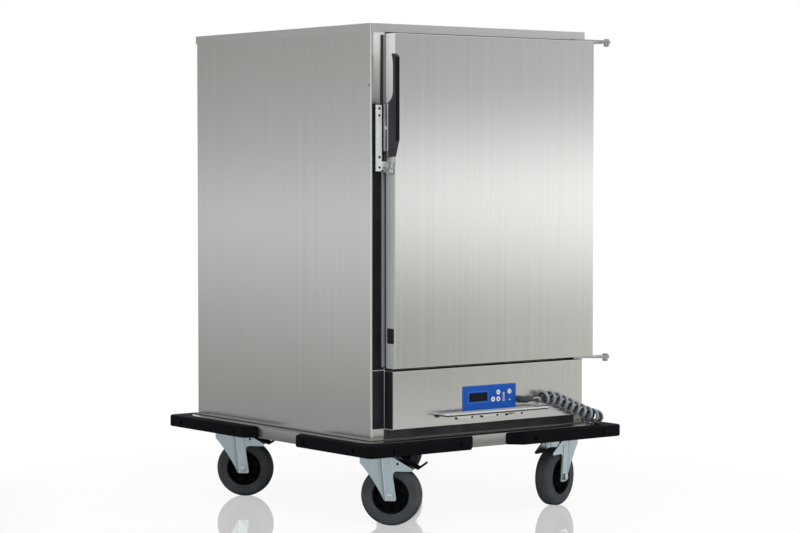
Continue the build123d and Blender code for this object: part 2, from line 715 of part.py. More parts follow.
def latch_plate():
    """Zinc plate on the left edge of the door with the stud that the lever turns on."""
    low = (X_DOOR_LEFT - LATCH_SHEET, Y_DOOR_FRONT + 4, Z_CABINET + KEEPER_BOTTOM)
    high = (X_DOOR_LEFT, Y_DOOR_BACK - 4, Z_CABINET + KEEPER_TOP + 6)
    plate = block(low, high)
    plate = fillet(plate.edges().filter_by(Axis.X), 4)
    x_out = LEVER_X - LEVER_THICK - LATCH_GAP
    stud = rod(PIVOT_RADIUS, (low[0], PIVOT_Y, PIVOT_Z), (x_out, PIVOT_Y, PIVOT_Z))
    return plate + stud + rod(EYE_RADIUS - 2, (x_out, PIVOT_Y, PIVOT_Z), (x_out - 3, PIVOT_Y, PIVOT_Z))


def tang_outline(grow):
    """Strip of the hook that reaches up inside the lever."""
    y_mid = Y_FRONT - (LEVER_BACK + LEVER_FRONT) / 2 + 2 * TANG_HALF
    half = TANG_WIDTH / 2 + grow
    z_low = Z_CABINET + LEVER_BOTTOM
    return rectangle((y_mid - half, z_low - TANG_WIDTH), (y_mid + half, z_low + TANG_LENGTH + grow))


def latch_lever():
    """Moulded lever: a broad lower body, a waist behind the fingers and a slim grip."""
    z_low = Z_CABINET + LEVER_BOTTOM
    z_top = Z_CABINET + LEVER_TOP
    z_body = Z_CABINET + LEVER_BODY_TOP
    back = Y_FRONT - LEVER_BACK
    grip = Y_FRONT - LEVER_GRIP_BACK
    front = Y_FRONT - LEVER_FRONT
    crest = (grip + LEVER_HOOK, z_top)
    lines = [
        Polyline((back, z_body), (back, z_low), (grip + 1, z_low + 2), (front, z_low + LEVER_CHAMFER),
                 (front, z_top - 2 * LEVER_HOOK)),
        ThreePointArc((front, z_top - 2 * LEVER_HOOK), (front + 4, z_top - 3), crest),
        ThreePointArc(crest, (grip + 2, z_top - 12), (grip, z_top - 30)),
        Line((grip, z_top - 30), (grip, z_body + 30)),
        ThreePointArc((grip, z_body + 30), (grip + 5, z_body + 12), (back, z_body)),
    ]
    outline = make_face(lines)
    outline = fillet(outline.vertices().sort_by_distance((*crest, 0))[0], LEVER_EDGE)
    lever = side_plate(outline, LEVER_X - LEVER_THICK, LEVER_THICK)
    lever = fillet(lever.faces().sort_by(Axis.X)[0].edges(), LEVER_EDGE)
    x_mid = LEVER_X - LEVER_THICK / 2
    half = TANG_HALF + SLOT_FIT
    return lever - side_plate(tang_outline(SLOT_FIT), x_mid - half, 2 * half)


def claw_sector(inner, outer, start, end):
    """Part of a ring about the pivot, between two angles from +Y."""
    ring = Circle(outer) - Circle(inner)
    points = [(0, 0)]
    for step in range(5):
        angle = math.radians(start + (end - start) * step / 4)
        points.append((2 * outer * math.cos(angle), 2 * outer * math.sin(angle)))
    return Pos(PIVOT_Y, PIVOT_Z) * (ring & Polygon(*points, align=None))


def latch_hook():
    """Zinc hook under the lever: eye on the stud, tang into the lever, claw towards the keeper."""
    x_mid = LEVER_X - LEVER_THICK / 2
    eye = Pos(PIVOT_Y, PIVOT_Z) * Circle(EYE_RADIUS)
    claw = claw_sector(EYE_RADIUS - 2, CLAW_OUTER, -125, -80) + claw_sector(CLAW_INNER, CLAW_OUTER, -82, -8)
    half = LEVER_THICK / 2 - LATCH_GAP
    lower = side_plate(eye + claw, x_mid - half, 2 * half)
    y_mid = tang_outline(0).center().X
    root = Pos(y_mid, Z_CABINET + LEVER_BOTTOM - TANG_WIDTH / 2) * Circle(TANG_WIDTH / 2)
    neck = make_hull((eye + root).edges())
    arm = side_plate(neck + tang_outline(0), x_mid - TANG_HALF, 2 * TANG_HALF)
    bore = rod(PIVOT_RADIUS + FIT, (x_mid - LEVER_THICK, PIVOT_Y, PIVOT_Z), (x_mid + LEVER_THICK, PIVOT_Y, PIVOT_Z))
    return lower + arm - bore


def keeper_plate():
    """Zinc strip on the rim with a nose in front of the claw."""
    x_low = -X_SIDE + KEEPER_INSET
    x_high = x_low + KEEPER_WIDTH
    z_low = Z_CABINET + KEEPER_BOTTOM
    strip = front_plate(rectangle((x_low, z_low), (x_high, Z_CABINET + KEEPER_TOP)), Y_FRONT, KEEPER_THICK)
    strip = fillet(strip.edges().filter_by(Axis.Z), 1)
    nose = block((x_high - 4, Y_FRONT - KEEPER_THICK - KEEPER_NOSE, PIVOT_Z - EYE_RADIUS),
                 (LEVER_X - LATCH_GAP, Y_FRONT - KEEPER_THICK, PIVOT_Z + EYE_RADIUS))
    return strip + nose


# Bumpers and fasteners


def bumper_corner(front, side):
    """Outer corner, inner corner and leg lengths of one bumper in plan."""
    y_in = Y_FRONT if front else Y_REAR
    y_out = Y_FRONT - BUMPER_OUT_FRONT if front else Y_REAR + BUMPER_OUT_REAR
    x_out = side * (X_SIDE + BUMPER_OUT_SIDE)
    leg_x = BUMPER_FRONT_LEG if front else BUMPER_REAR_LEG
    leg_y = BUMPER_SIDE_LEG_FRONT if front else BUMPER_SIDE_LEG_REAR
    x_end = x_out - side * leg_x
    y_end = y_out + leg_y if front else y_out - leg_y
    return x_out, y_out, side * X_SIDE, y_in, x_end, y_end


def recesses(front, side):
    """Mouth and floor of each screw recess in the two outer faces of a bumper."""
    x_out, y_out, x_in, y_in, x_end, y_end = bumper_corner(front, side)
    z_mid = CASTER_HEIGHT + BUMPER_HEIGHT / 2
    into_y = 1 if front else -1
    places = []
    for x_hole in (x_out - side * RECESS_INSET, x_end + side * RECESS_INSET / 2):
        places.append(((x_hole, y_out, z_mid), (x_hole, y_out + into_y * RECESS_DEPTH, z_mid)))
    for y_hole in (y_out + into_y * RECESS_INSET, y_end - into_y * RECESS_INSET / 2):
        places.append(((x_out, y_hole, z_mid), (x_out - side * RECESS_DEPTH, y_hole, z_mid)))
    return places


def bumper(front, side):
    """Moulded corner bumper: an L in plan with a round nose and eased edges."""
    x_out, y_out, x_in, y_in, x_end, y_end = bumper_corner(front, side)
    outline = Polygon((x_out, y_out), (x_end, y_out), (x_end, y_in), (x_in, y_in), (x_in, y_end), (x_out, y_end),
                      align=None)
    outline = fillet(outline.vertices().sort_by_distance((x_out, y_out, 0))[0], BUMPER_CORNER)
    for x_tip, y_tip in ((x_end, y_out), (x_out, y_end)):
        outline = fillet(outline.vertices().sort_by_distance((x_tip, y_tip, 0))[0], BUMPER_END)
    body = flat_plate(outline, CASTER_HEIGHT, BUMPER_HEIGHT)
    outer = [
        edge for edge in body.edges()
        if abs(edge.center().X - x_in) > 1 and abs(edge.center().Y - y_in) > 1
        and abs(edge.center().Z - CASTER_HEIGHT - BUMPER_HEIGHT / 2) > 1
        and abs(edge.center().X - x_end) > 1 and abs(edge.center().Y - y_end) > 1
    ]
    body = chamfer(outer, BUMPER_EDGE)
    for mouth, floor in recesses(front, side):
        body -= rod(RECESS_RADIUS, mouth, floor)
    return body


def fixing_screws():
    """Bumper screws, keeper screws and caster plate bolts."""
    pieces = []
    for front in (True, False):
        for side in (-1, 1):
            for mouth, floor in recesses(front, side):
                inward = (Vector(*mouth) - Vector(*floor)).normalized() * SCREW_HEAD
                pieces.append(rod(SCREW_HEAD_RADIUS, floor, Vector(*floor) + inward))
    x_mid = -X_SIDE + KEEPER_INSET + KEEPER_WIDTH / 2
    y_face = Y_FRONT - KEEPER_THICK
    for height in KEEPER_SCREWS:
        z_mid = Z_CABINET + height
        pieces.append(rod(3.2, (x_mid, y_face, z_mid), (x_mid, y_face - 1.2, z_mid)))
    for _, side, y_swivel, _, _ in CASTERS:
        for place in GridLocations(BOLT_X, BOLT_Y, 2, 2):
            x_bolt = side * CASTER_X + place.position.X
            y_bolt = y_swivel + place.position.Y
            head = extrude(Pos(x_bolt, y_bolt, PLATE_BOTTOM) * RegularPolygon(6.5, 6), -BOLT_HEAD)
            pieces.append(head)
    return group(pieces)


# Casters, drawn with the swivel axis on Z and the wheel trailing towards +X


def on_caster(shape, side, y_swivel, turn):
    """Place a caster piece under its corner of the base."""
    return Pos(side * CASTER_X, y_swivel, 0) * Rot(0, 0, turn) * shape


def caster_plate():
    """Top plate with the swivel head and the kingpin under it."""
    plate = flat_plate(RectangleRounded(PLATE_X, PLATE_Y, 8), PLATE_BOTTOM, PLATE_SHEET)
    z_nut = CROWN_TOP - FORK_SHEET - RUN_GAP
    head = taper(HEAD_RADIUS, HEAD_RADIUS + 4, (0, 0, PLATE_BOTTOM - HEAD_HEIGHT), (0, 0, PLATE_BOTTOM))
    pin = rod(KINGPIN_RADIUS, (0, 0, z_nut - 8), (0, 0, PLATE_BOTTOM - HEAD_HEIGHT))
    return plate + head + pin + rod(KINGPIN_NUT, (0, 0, z_nut - 8), (0, 0, z_nut))


def caster_plates():
    """The four fixed top plates."""
    return group([Pos(side * CASTER_X, y, 0) * caster_plate() for _, side, y, _, _ in CASTERS])


def fork_leg():
    """Side outline of the pressed fork: crown, leg to the axle and tapering tail over the wheel."""
    low = WHEEL_RADIUS - FORK_BELOW_AXLE
    tail = WHEEL_RADIUS + TAIL_UP
    shoulder = (CASTER_TRAIL + 8, CROWN_TOP)
    tip = (CASTER_TRAIL + TAIL_REACH, tail + TAIL_TIP)
    heel = (CASTER_TRAIL + TAIL_REACH - TAIL_TIP, tail)
    root = (CASTER_TRAIL + 6, tail)
    toe = (CASTER_TRAIL - 14, low)
    chin = (-CROWN_RADIUS, CROWN_TOP - FORK_CHIN)
    lines = [
        Polyline(toe, (CASTER_TRAIL + 16, low), root, heel, tip, shoulder, (-CROWN_RADIUS, CROWN_TOP), chin),
        ThreePointArc(chin, (CASTER_TRAIL - 55, WHEEL_RADIUS + 56), toe),
    ]
    outline = make_face(lines)
    outline = fillet(outline.vertices().sort_by_distance(root)[0], FORK_ROOT)
    lower = outline.vertices().filter_by_position(Axis.Y, low - 1, low + 1)
    return fillet(lower, 5)


def fork_rib():
    """Outline of the pressed rib that stiffens each leg down to the axle."""
    low = WHEEL_RADIUS - FORK_BELOW_AXLE + 3
    high = CROWN_TOP - FORK_CHIN
    rib = Polygon((CASTER_TRAIL - 12, low + 14), (CASTER_TRAIL + 12, low), (CASTER_TRAIL + 3, high),
                  (CASTER_TRAIL - 19, high), align=None)
    return fillet(rib.vertices(), 4)


def caster_fork(pedal):
    """Pressed steel fork with its axle bolt."""
    outer = FORK_INSIDE + FORK_SHEET
    crown_outline = rectangle((-CROWN_RADIUS, -outer), (CROWN_RADIUS, outer)) & Circle(CROWN_RADIUS)
    crown = flat_plate(crown_outline + Circle(HEAD_RADIUS + 6), CROWN_TOP - FORK_SHEET, FORK_SHEET)
    fork = crown
    reach = outer + FORK_RIB
    for leg_back, rib_back in ((outer, reach), (-FORK_INSIDE, -outer)):
        fork += front_plate(fork_leg(), leg_back, FORK_SHEET)
        fork += front_plate(fork_rib(), rib_back, FORK_RIB)
    fork -= Pos(0, 0, CROWN_TOP) * Cylinder(KINGPIN_RADIUS + FIT, 3 * FORK_SHEET)
    fork -= rod(AXLE_RADIUS + FIT, (CASTER_TRAIL, -2 * reach, WHEEL_RADIUS), (CASTER_TRAIL, 2 * reach, WHEEL_RADIUS))
    if pedal:
        fork -= rod(PEDAL_PIN + FIT, (PEDAL_T, -2 * reach, PEDAL_Z), (PEDAL_T, 2 * reach, PEDAL_Z))
    axle = rod(AXLE_RADIUS, (CASTER_TRAIL, -reach, WHEEL_RADIUS), (CASTER_TRAIL, reach, WHEEL_RADIUS))
    for side in (-1, 1):
        end = side * (reach + AXLE_HEAD_LENGTH)
        axle += rod(AXLE_HEAD, (CASTER_TRAIL, side * reach, WHEEL_RADIUS), (CASTER_TRAIL, end, WHEEL_RADIUS))
    return group([fork, axle])


def wheel_hub():
    """Black wheel centre: rim, thin web and a boss on the axle."""
    half = TYRE_WIDTH / 2 - 1
    profile = rectangle((0, 0), (HUB_BOSS, HUB_HALF))
    profile += rectangle((0, 0), (HUB_RADIUS, HUB_WEB / 2))
    profile += Polygon((HUB_RADIUS - 9, 0), (HUB_RADIUS, 0), (HUB_RADIUS, half), (HUB_RADIUS - 5, half), align=None)
    profile -= rectangle((0, 0), (AXLE_RADIUS + FIT, HUB_HALF))
    upper = revolve(Plane.XZ * profile, Axis.Z)
    hub = upper + mirror(upper, Plane.XY)
    return Pos(CASTER_TRAIL, 0, WHEEL_RADIUS) * Rot(90, 0, 0) * hub


def wheel_tyre():
    """Grey tyre ring with round shoulders."""
    half = TYRE_WIDTH / 2
    profile = rectangle((HUB_RADIUS, -half), (WHEEL_RADIUS, half))
    profile = fillet(profile.vertices().group_by(Axis.X)[-1], TYRE_EDGE)
    ring = revolve(Plane.XZ * profile, Axis.Z)
    return Pos(CASTER_TRAIL, 0, WHEEL_RADIUS) * Rot(90, 0, 0) * ring


def brake_pedal():
    """Foot lever over the tail of the fork: pin, arm, brake pad and turned-up tip."""
    knee = (CASTER_TRAIL + 68, PEDAL_Z - 12)
    tip = (CASTER_TRAIL + 86, PEDAL_Z + 1)
    centre = Polyline((PEDAL_T, PEDAL_Z), (PEDAL_T + 13, PEDAL_Z + 8), knee, tip)
    arm = trace(centre, PEDAL_SHEET)
    arm += Pos(PEDAL_T, PEDAL_Z) * Circle(2 * PEDAL_PIN)
    pad = Pos(PEDAL_T + 20, PEDAL_Z - 2) * Rot(0, 0, -11) * Rectangle(14, 13)
    body = extrude(Plane.XZ * (arm + pad), PEDAL_HALF, both=True)
    outer = FORK_INSIDE + FORK_SHEET
    return body + rod(PEDAL_PIN, (PEDAL_T, -outer, PEDAL_Z), (PEDAL_T, outer, PEDAL_Z))


# Curly cord


def cord_route():
    """Control points of the line that the curls wind round, from the gland to the plug."""
    y_front = Y_CONTROL - COIL_RADIUS - CORD_RADIUS - COIL_LIFT
    x_side = X_SIDE + COIL_OUT
    z_gland = Z_CABINET + GLAND_UP
    z_rest = BUMPER_TOP + COIL_RADIUS + CORD_RADIUS + COIL_LIFT
    start = GLAND_X + GLAND_BEND + RELIEF + SEAL_GAP
    y_end = Y_FRONT + PLUG_BACK - PLUG_RELIEF - SEAL_GAP
    return [
        (start, y_front, z_gland),
        (start + 24, y_front, z_gland + 2.5),
        (start + 62, y_front, z_gland + 2),
        (start + 104, y_front, z_gland - 13),
        (start + 146, y_front, z_gland - 32),
        (X_SIDE - 30, y_front, z_rest + 14),
        (X_SIDE + 2, y_front + 2, z_rest + 3),
        (x_side - 4, y_front + 18, z_rest),
        (x_side, y_front + 54, z_rest),
        (x_side + 1, y_front + 112, z_rest),
        (x_side, (y_front + y_end) / 2 + 60, z_rest),
        (x_side - 1, y_end - 34, z_rest),
        (x_side, y_end, z_rest),
    ]


def route_point(points, share):
    """Point at a share of a clamped quadratic B-spline through the control points."""
    spans = len(points) - 2
    place = min(share * spans, spans - 1e-9)
    span = int(place)
    u = place - span
    a = 0.5 if span > 0 else 1.0
    b = 0.5 if span < spans - 1 else 1.0
    first = a * (1 - u) ** 2
    last = b * u ** 2
    weights = (first, 1 - first - last, last)
    return tuple(sum(weights[i] * points[span + i][axis] for i in range(3)) for axis in range(3))


def curl_points(per_turn):
    """Points of the wound cord, with a straight run of a diameter or more at both ends."""
    route = cord_route()
    steps = 4000
    line = [Vector(*route_point(route, i / steps)) for i in range(steps + 1)]
    lengths = [0.0]
    for before, after in zip(line, line[1:]):
        lengths.append(lengths[-1] + (after - before).length)
    lead = 3 * CORD_RADIUS
    pitch = (lengths[-1] - 2 * lead) / CURLS
    normal = Vector(0, 0, 1)
    count = CURLS * per_turn
    points = [line[0]]
    at = 0
    for i in range(count + 1):
        along = lead + pitch * i / per_turn
        while at < steps - 1 and lengths[at + 1] < along:
            at += 1
        tangent = (line[at + 1] - line[at]).normalized()
        normal = (normal - tangent * normal.dot(tangent)).normalized()
        side = tangent.cross(normal)
        angle = 2 * math.pi * i / per_turn
        swell = min(1.0, i / per_turn, (count - i) / per_turn)
        radius = COIL_RADIUS * swell * swell * (3 - 2 * swell)
        centre = line[at] + tangent * (along - lengths[at])
        points.append(centre + (normal * math.cos(angle) + side * math.sin(angle)) * radius)
    points.append(line[-1])
    return points


def biarc(first, first_way, last, last_way):
    """Two tangent arcs from one point and direction to the next."""
    chord = last - first
    total = first_way + last_way
    closeness = 2 * (1 - first_way.dot(last_way))
    reach = chord.dot(total)
    if closeness < 1e-9:
        size = chord.dot(chord) / (2 * reach)
    else:
        size = (math.sqrt(reach * reach + closeness * chord.dot(chord)) - reach) / closeness
    middle = (first + last + (first_way - last_way) * size) * 0.5
    way = (last - last_way * size - first - first_way * size).normalized()
    return [arc_or_line(first, first_way, middle), arc_or_line(middle, way, last)]


def arc_or_line(start, way, end):
    """Arc that leaves start in the given direction, or a line where that runs straight to end."""
    if way.cross((end - start).normalized()).length < 1e-6:
        return Edge.make_line(start, end)
    return Edge.make_tangent_arc(start, way, end)


def curly_cord():
    """One unbroken round cord wound in curls round the route."""
    per_turn = 4
    fine = 64
    dense = curl_points(fine * per_turn)
    edges = []
    knots = [0] + list(range(1, len(dense) - 1, fine)) + [len(dense) - 1]
    ways = []
    for knot in knots:
        before = dense[max(knot - 1, 0)]
        after = dense[min(knot + 1, len(dense) - 1)]
        ways.append((after - before).normalized())
    ways[1] = ways[0]
    ways[-2] = ways[-1]
    for i in range(len(knots) - 1):
        edges += biarc(dense[knots[i]], ways[i], dense[knots[i + 1]], ways[i + 1])
    path = Wire(edges)
    tube = sweep(Plane(origin=dense[0], z_dir=ways[0]) * Circle(CORD_RADIUS), path=path)
    ideal = math.pi * CORD_RADIUS ** 2 * path.length
    print("curly cord: length", round(path.length), "volume over section times length", round(tube.volume / ideal, 4))
    print("curly cord: least gap to itself", round(curl_gap(curl_points(24)), 2))
    return tube


def curl_gap(points):
    """Least distance between stretches of the cord that aren't neighbours, less its diameter."""
    skip = 14
    least = 1e9
    for i, point in enumerate(points):
        for other in points[i + skip:i + 60]:
            least = min(least, (other - point).length)
    return least - 2 * CORD_RADIUS


def cord_gland():
    """Elbow gland on the cover with a tapered strain relief towards the right."""
    z_mid = Z_CABINET + GLAND_UP
    y_cord = cord_route()[0][1]
    x_end = GLAND_X + GLAND_BEND
    nut = extrude(Plane(origin=(GLAND_X, Y_CONTROL, z_mid), z_dir=(0, -1, 0)) * RegularPolygon(GLAND_NUT, 6), 5)
    path = FilletPolyline((GLAND_X, Y_CONTROL + 2 * SKIN, z_mid), (GLAND_X, y_cord, z_mid), (x_end + 2, y_cord, z_mid),
                          radius=GLAND_BEND)
    section = Plane(origin=(GLAND_X, Y_CONTROL + 2 * SKIN, z_mid), z_dir=(0, -1, 0)) * Circle(GLAND_RADIUS - FIT)
    elbow = sweep(section, path=path)
    relief = taper(GLAND_RADIUS - 1, CORD_RADIUS + 1, (x_end, y_cord, z_mid), (x_end + RELIEF, y_cord, z_mid))
    return nut + elbow + relief


def cord_plug():
    """Round plug with a tapered tail and two pins, parked with its face to the rear."""
    x_mid, y_cord, z_mid = cord_route()[-1]
    y_end = y_cord + SEAL_GAP
    y_body = y_end + PLUG_RELIEF
    y_face = y_body + PLUG_LENGTH
    plug = taper(CORD_RADIUS + 1, CORD_RADIUS + 5, (x_mid, y_end, z_mid), (x_mid, y_body, z_mid))
    body = rod(PLUG_RADIUS, (x_mid, y_body, z_mid), (x_mid, y_face, z_mid))
    plug += fillet(body.edges().group_by(Axis.Y)[0], PLUG_RADIUS / 2)
    for side in (-1, 1):
        x_pin = x_mid + side * PLUG_PIN_SPACING / 2
        plug += rod(PLUG_PIN, (x_pin, y_face, z_mid), (x_pin, y_face + PLUG_PIN_SPACING, z_mid))
    return plug


def plug_holder():
    """Angle on the right wall whose face has two holes for the pins of the parked plug."""
    x_mid, y_cord, z_mid = cord_route()[-1]
    y_face = y_cord + SEAL_GAP + PLUG_RELIEF + PLUG_LENGTH + CAP_FIT
    half = PLUG_RADIUS + 3
    z_low = Z_CABINET + CAP_FIT
    face = rectangle((X_SIDE, z_low), (x_mid + half, z_mid + half))
    for side in (-1, 1):
        face -= Pos(x_mid + side * PLUG_PIN_SPACING / 2, z_mid) * Circle(PLUG_PIN + CAP_FIT)
    plate = front_plate(face, y_face + HOLDER_SHEET, HOLDER_SHEET)
    flange = block((X_SIDE, y_face, z_low), (X_SIDE + HOLDER_SHEET, y_face + PLUG_LENGTH, z_mid + half))
    return plate + flange


def pieces():
    """Every node of the trolley by name."""
    made = {
        "base_frame": base_frame(),
        "left_wall": side_wall(-1),
        "right_wall": side_wall(1),
        "rear_wall": rear_wall(),
        "top_cap": top_cap(),
        "front_frame": front_frame(),
        "plinth_strip": plinth_strip(),
        "door_gasket": door_gasket(),
        "wall_insulation": wall_insulation(),
        "liner_sides": liner_sides(),
        "liner_rear": liner_rear(),
        "liner_ceiling": liner_ceiling(),
        "liner_floor": liner_floor(),
        "tray_racks": tray_racks(),
        "heater_element": heater_element(),
        "fan_motor": fan_motor(),
        "fan_wheel": fan_wheel(),
        "temperature_probe": temperature_probe(),
        "control_cover": control_cover(),
        "control_overlay": control_overlay(),
        "display_window": display_window(),
        "controller_board": controller_board(),
        "guard_rail": guard_rail(),
        "door_skin": door_skin(),
        "door_inner": door_inner(),
        "door_insulation": door_insulation(),
        "hinge_arms": hinge_arms(),
        "hinge_brackets": hinge_brackets(),
        "latch_plate": latch_plate(),
        "latch_lever": latch_lever(),
        "latch_hook": latch_hook(),
        "keeper_plate": keeper_plate(),
        "fixing_screws": fixing_screws(),
        "caster_plates": caster_plates(),
        "cord_gland": cord_gland(),
        "curly_cord": curly_cord(),
        "cord_plug": cord_plug(),
        "plug_holder": plug_holder(),
    }
    for name, (x_key, z_key) in KEYS.items():
        made[name] = key(x_key, z_key)
    for front, end in ((True, "front"), (False, "rear")):
        made[f"bumper_{end}_left"] = bumper(front, -1)
        made[f"bumper_{end}_right"] = bumper(front, 1)
    for name, side, y_swivel, turn, pedal in CASTERS:
        made[f"fork_{name}"] = on_caster(caster_fork(pedal), side, y_swivel, turn)
        made[f"hub_{name}"] = on_caster(wheel_hub(), side, y_swivel, turn)
        made[f"tyre_{name}"] = on_caster(wheel_tyre(), side, y_swivel, turn)
        if pedal:
            made[f"pedal_{name}"] = on_caster(brake_pedal(), side, y_swivel, turn)
    return made


def main():
    os.makedirs("parts", exist_ok=True)
    for name, shape in pieces().items():
        export_step(shape, os.path.join("parts", f"{name}.step"))


if __name__ == "__main__":
    main()
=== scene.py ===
"""Looks of a heated banquet trolley: its surfaces, finishes and stage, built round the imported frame."""

import json
import math

import bmesh
import bpy
import numpy as np
from bpy.props import FloatProperty, FloatVectorProperty, IntProperty, PointerProperty
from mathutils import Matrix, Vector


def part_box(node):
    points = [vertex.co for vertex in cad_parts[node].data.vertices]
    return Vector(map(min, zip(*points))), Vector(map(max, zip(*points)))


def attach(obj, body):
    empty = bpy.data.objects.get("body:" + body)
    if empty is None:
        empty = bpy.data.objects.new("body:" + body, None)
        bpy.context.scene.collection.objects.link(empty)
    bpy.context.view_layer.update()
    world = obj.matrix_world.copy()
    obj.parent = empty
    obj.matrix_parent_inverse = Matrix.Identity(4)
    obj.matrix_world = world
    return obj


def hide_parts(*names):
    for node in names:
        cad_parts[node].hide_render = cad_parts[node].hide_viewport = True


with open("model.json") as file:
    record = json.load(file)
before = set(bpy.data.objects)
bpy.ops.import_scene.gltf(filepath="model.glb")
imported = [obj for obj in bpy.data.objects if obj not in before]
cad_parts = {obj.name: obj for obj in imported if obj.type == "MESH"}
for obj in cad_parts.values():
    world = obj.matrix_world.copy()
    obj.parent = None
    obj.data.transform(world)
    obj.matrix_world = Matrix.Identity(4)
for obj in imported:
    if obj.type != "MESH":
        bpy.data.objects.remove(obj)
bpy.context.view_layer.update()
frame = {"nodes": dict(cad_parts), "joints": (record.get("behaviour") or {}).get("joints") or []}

bl_info = {
    "name": "Heated banquet trolley",
    "version": (1, 0, 0),
    "blender": (4, 5, 0),
    "location": "3D View > Sidebar > Trolley",
    "description": "Surfaces, finishes and stage for a heated banquet trolley",
    "category": "Object",
}

JOINTS = {joint["name"]: joint for joint in frame["joints"]}
CORNERS = ("front_left", "front_right", "rear_left", "rear_right")
MM = 0.001
UP = np.array((0.0, 0.0, 1.0))
DOWN = (0.0, 0.0, -1.0)
TO_FRONT = (0.0, -1.0, 0.0)
TO_LEFT = (-1.0, 0.0, 0.0)


# Properties

def length(name, text, default):
    """A length in metres."""
    return FloatProperty(name=name, description=text, default=default, unit="LENGTH", precision=5)


def share(name, text, default):
    """A number from 0 to 1."""
    return FloatProperty(name=name, description=text, default=default, min=0.0, max=1.0, subtype="FACTOR")


def tint(name, text, default):
    """A linear colour."""
    return FloatVectorProperty(name=name, description=text, default=default, size=3, min=0.0, max=1.0,
                               subtype="COLOR")


def place(name, text, default):
    """A point in metres."""
    return FloatVectorProperty(name=name, description=text, default=default, subtype="TRANSLATION",
                               unit="LENGTH")


def turn(name, text, degrees):
    """Turns about X, Y and Z, given in degrees."""
    return FloatVectorProperty(name=name, description=text, default=[math.radians(part) for part in degrees],
                               subtype="EULER", unit="ROTATION")


class TROLLEY_PG_stage(bpy.types.PropertyGroup):
    """Camera, light and floor."""

    camera_place: place("Camera place", "Where the camera stands", (-3.735, -4.9538, 0.8902))
    camera_turn: turn("Camera turn", "How the camera is turned", (87.456, 0.0, -37.235))
    lens: FloatProperty(name="Lens", description="Focal length of the lens", default=105.87, unit="CAMERA")
    sky: share("Sky level", "Light of the surroundings on the object", 0.72)
    lamp_place: place("Lamp place", "Where the soft lamp hangs", (-2.2, -3.8, 4.2))
    lamp_turn: turn("Lamp turn", "How the soft lamp is turned", (42.0, 0.0, -30.0))
    lamp_size: length("Lamp size", "Across the soft lamp", 3.0)
    lamp_power: FloatProperty(
        name="Lamp power", description="Power of the soft lamp", default=85.0, unit="POWER")
    mirror: share("Floor mirror", "How much of the floor's look is mirrored", 0.42)
    shade: share("Floor shade", "How much of the floor's look is lit by the lamps", 0.08)
    bounce: share("Floor bounce", "How much light the floor gives back behind the trolley", 0.5)
    bounce_front: share("Front bounce", "How much light the floor gives back in front of the door", 0.85)
    floor_half: length("Floor", "Half the floor's width", 9.0)
    floor_near: length("Near floor", "How far out the floor begins to turn plain white", 0.8)
    floor_far: length("Far floor", "How far out the floor is plain white", 1.3)
    cove_radius: length("Cove radius", "Distance of the reflected cove from the trolley", 3.3)
    cove_height: length("Cove height", "Height of the reflected cove", 2.6)
    cove_bands: length("Cove bands", "Height over which the cove's bands lie", 1.6)
    cove_light: FloatProperty(
        name="Cove light", description="Strength of the cove's light", default=1.65, min=1.0)


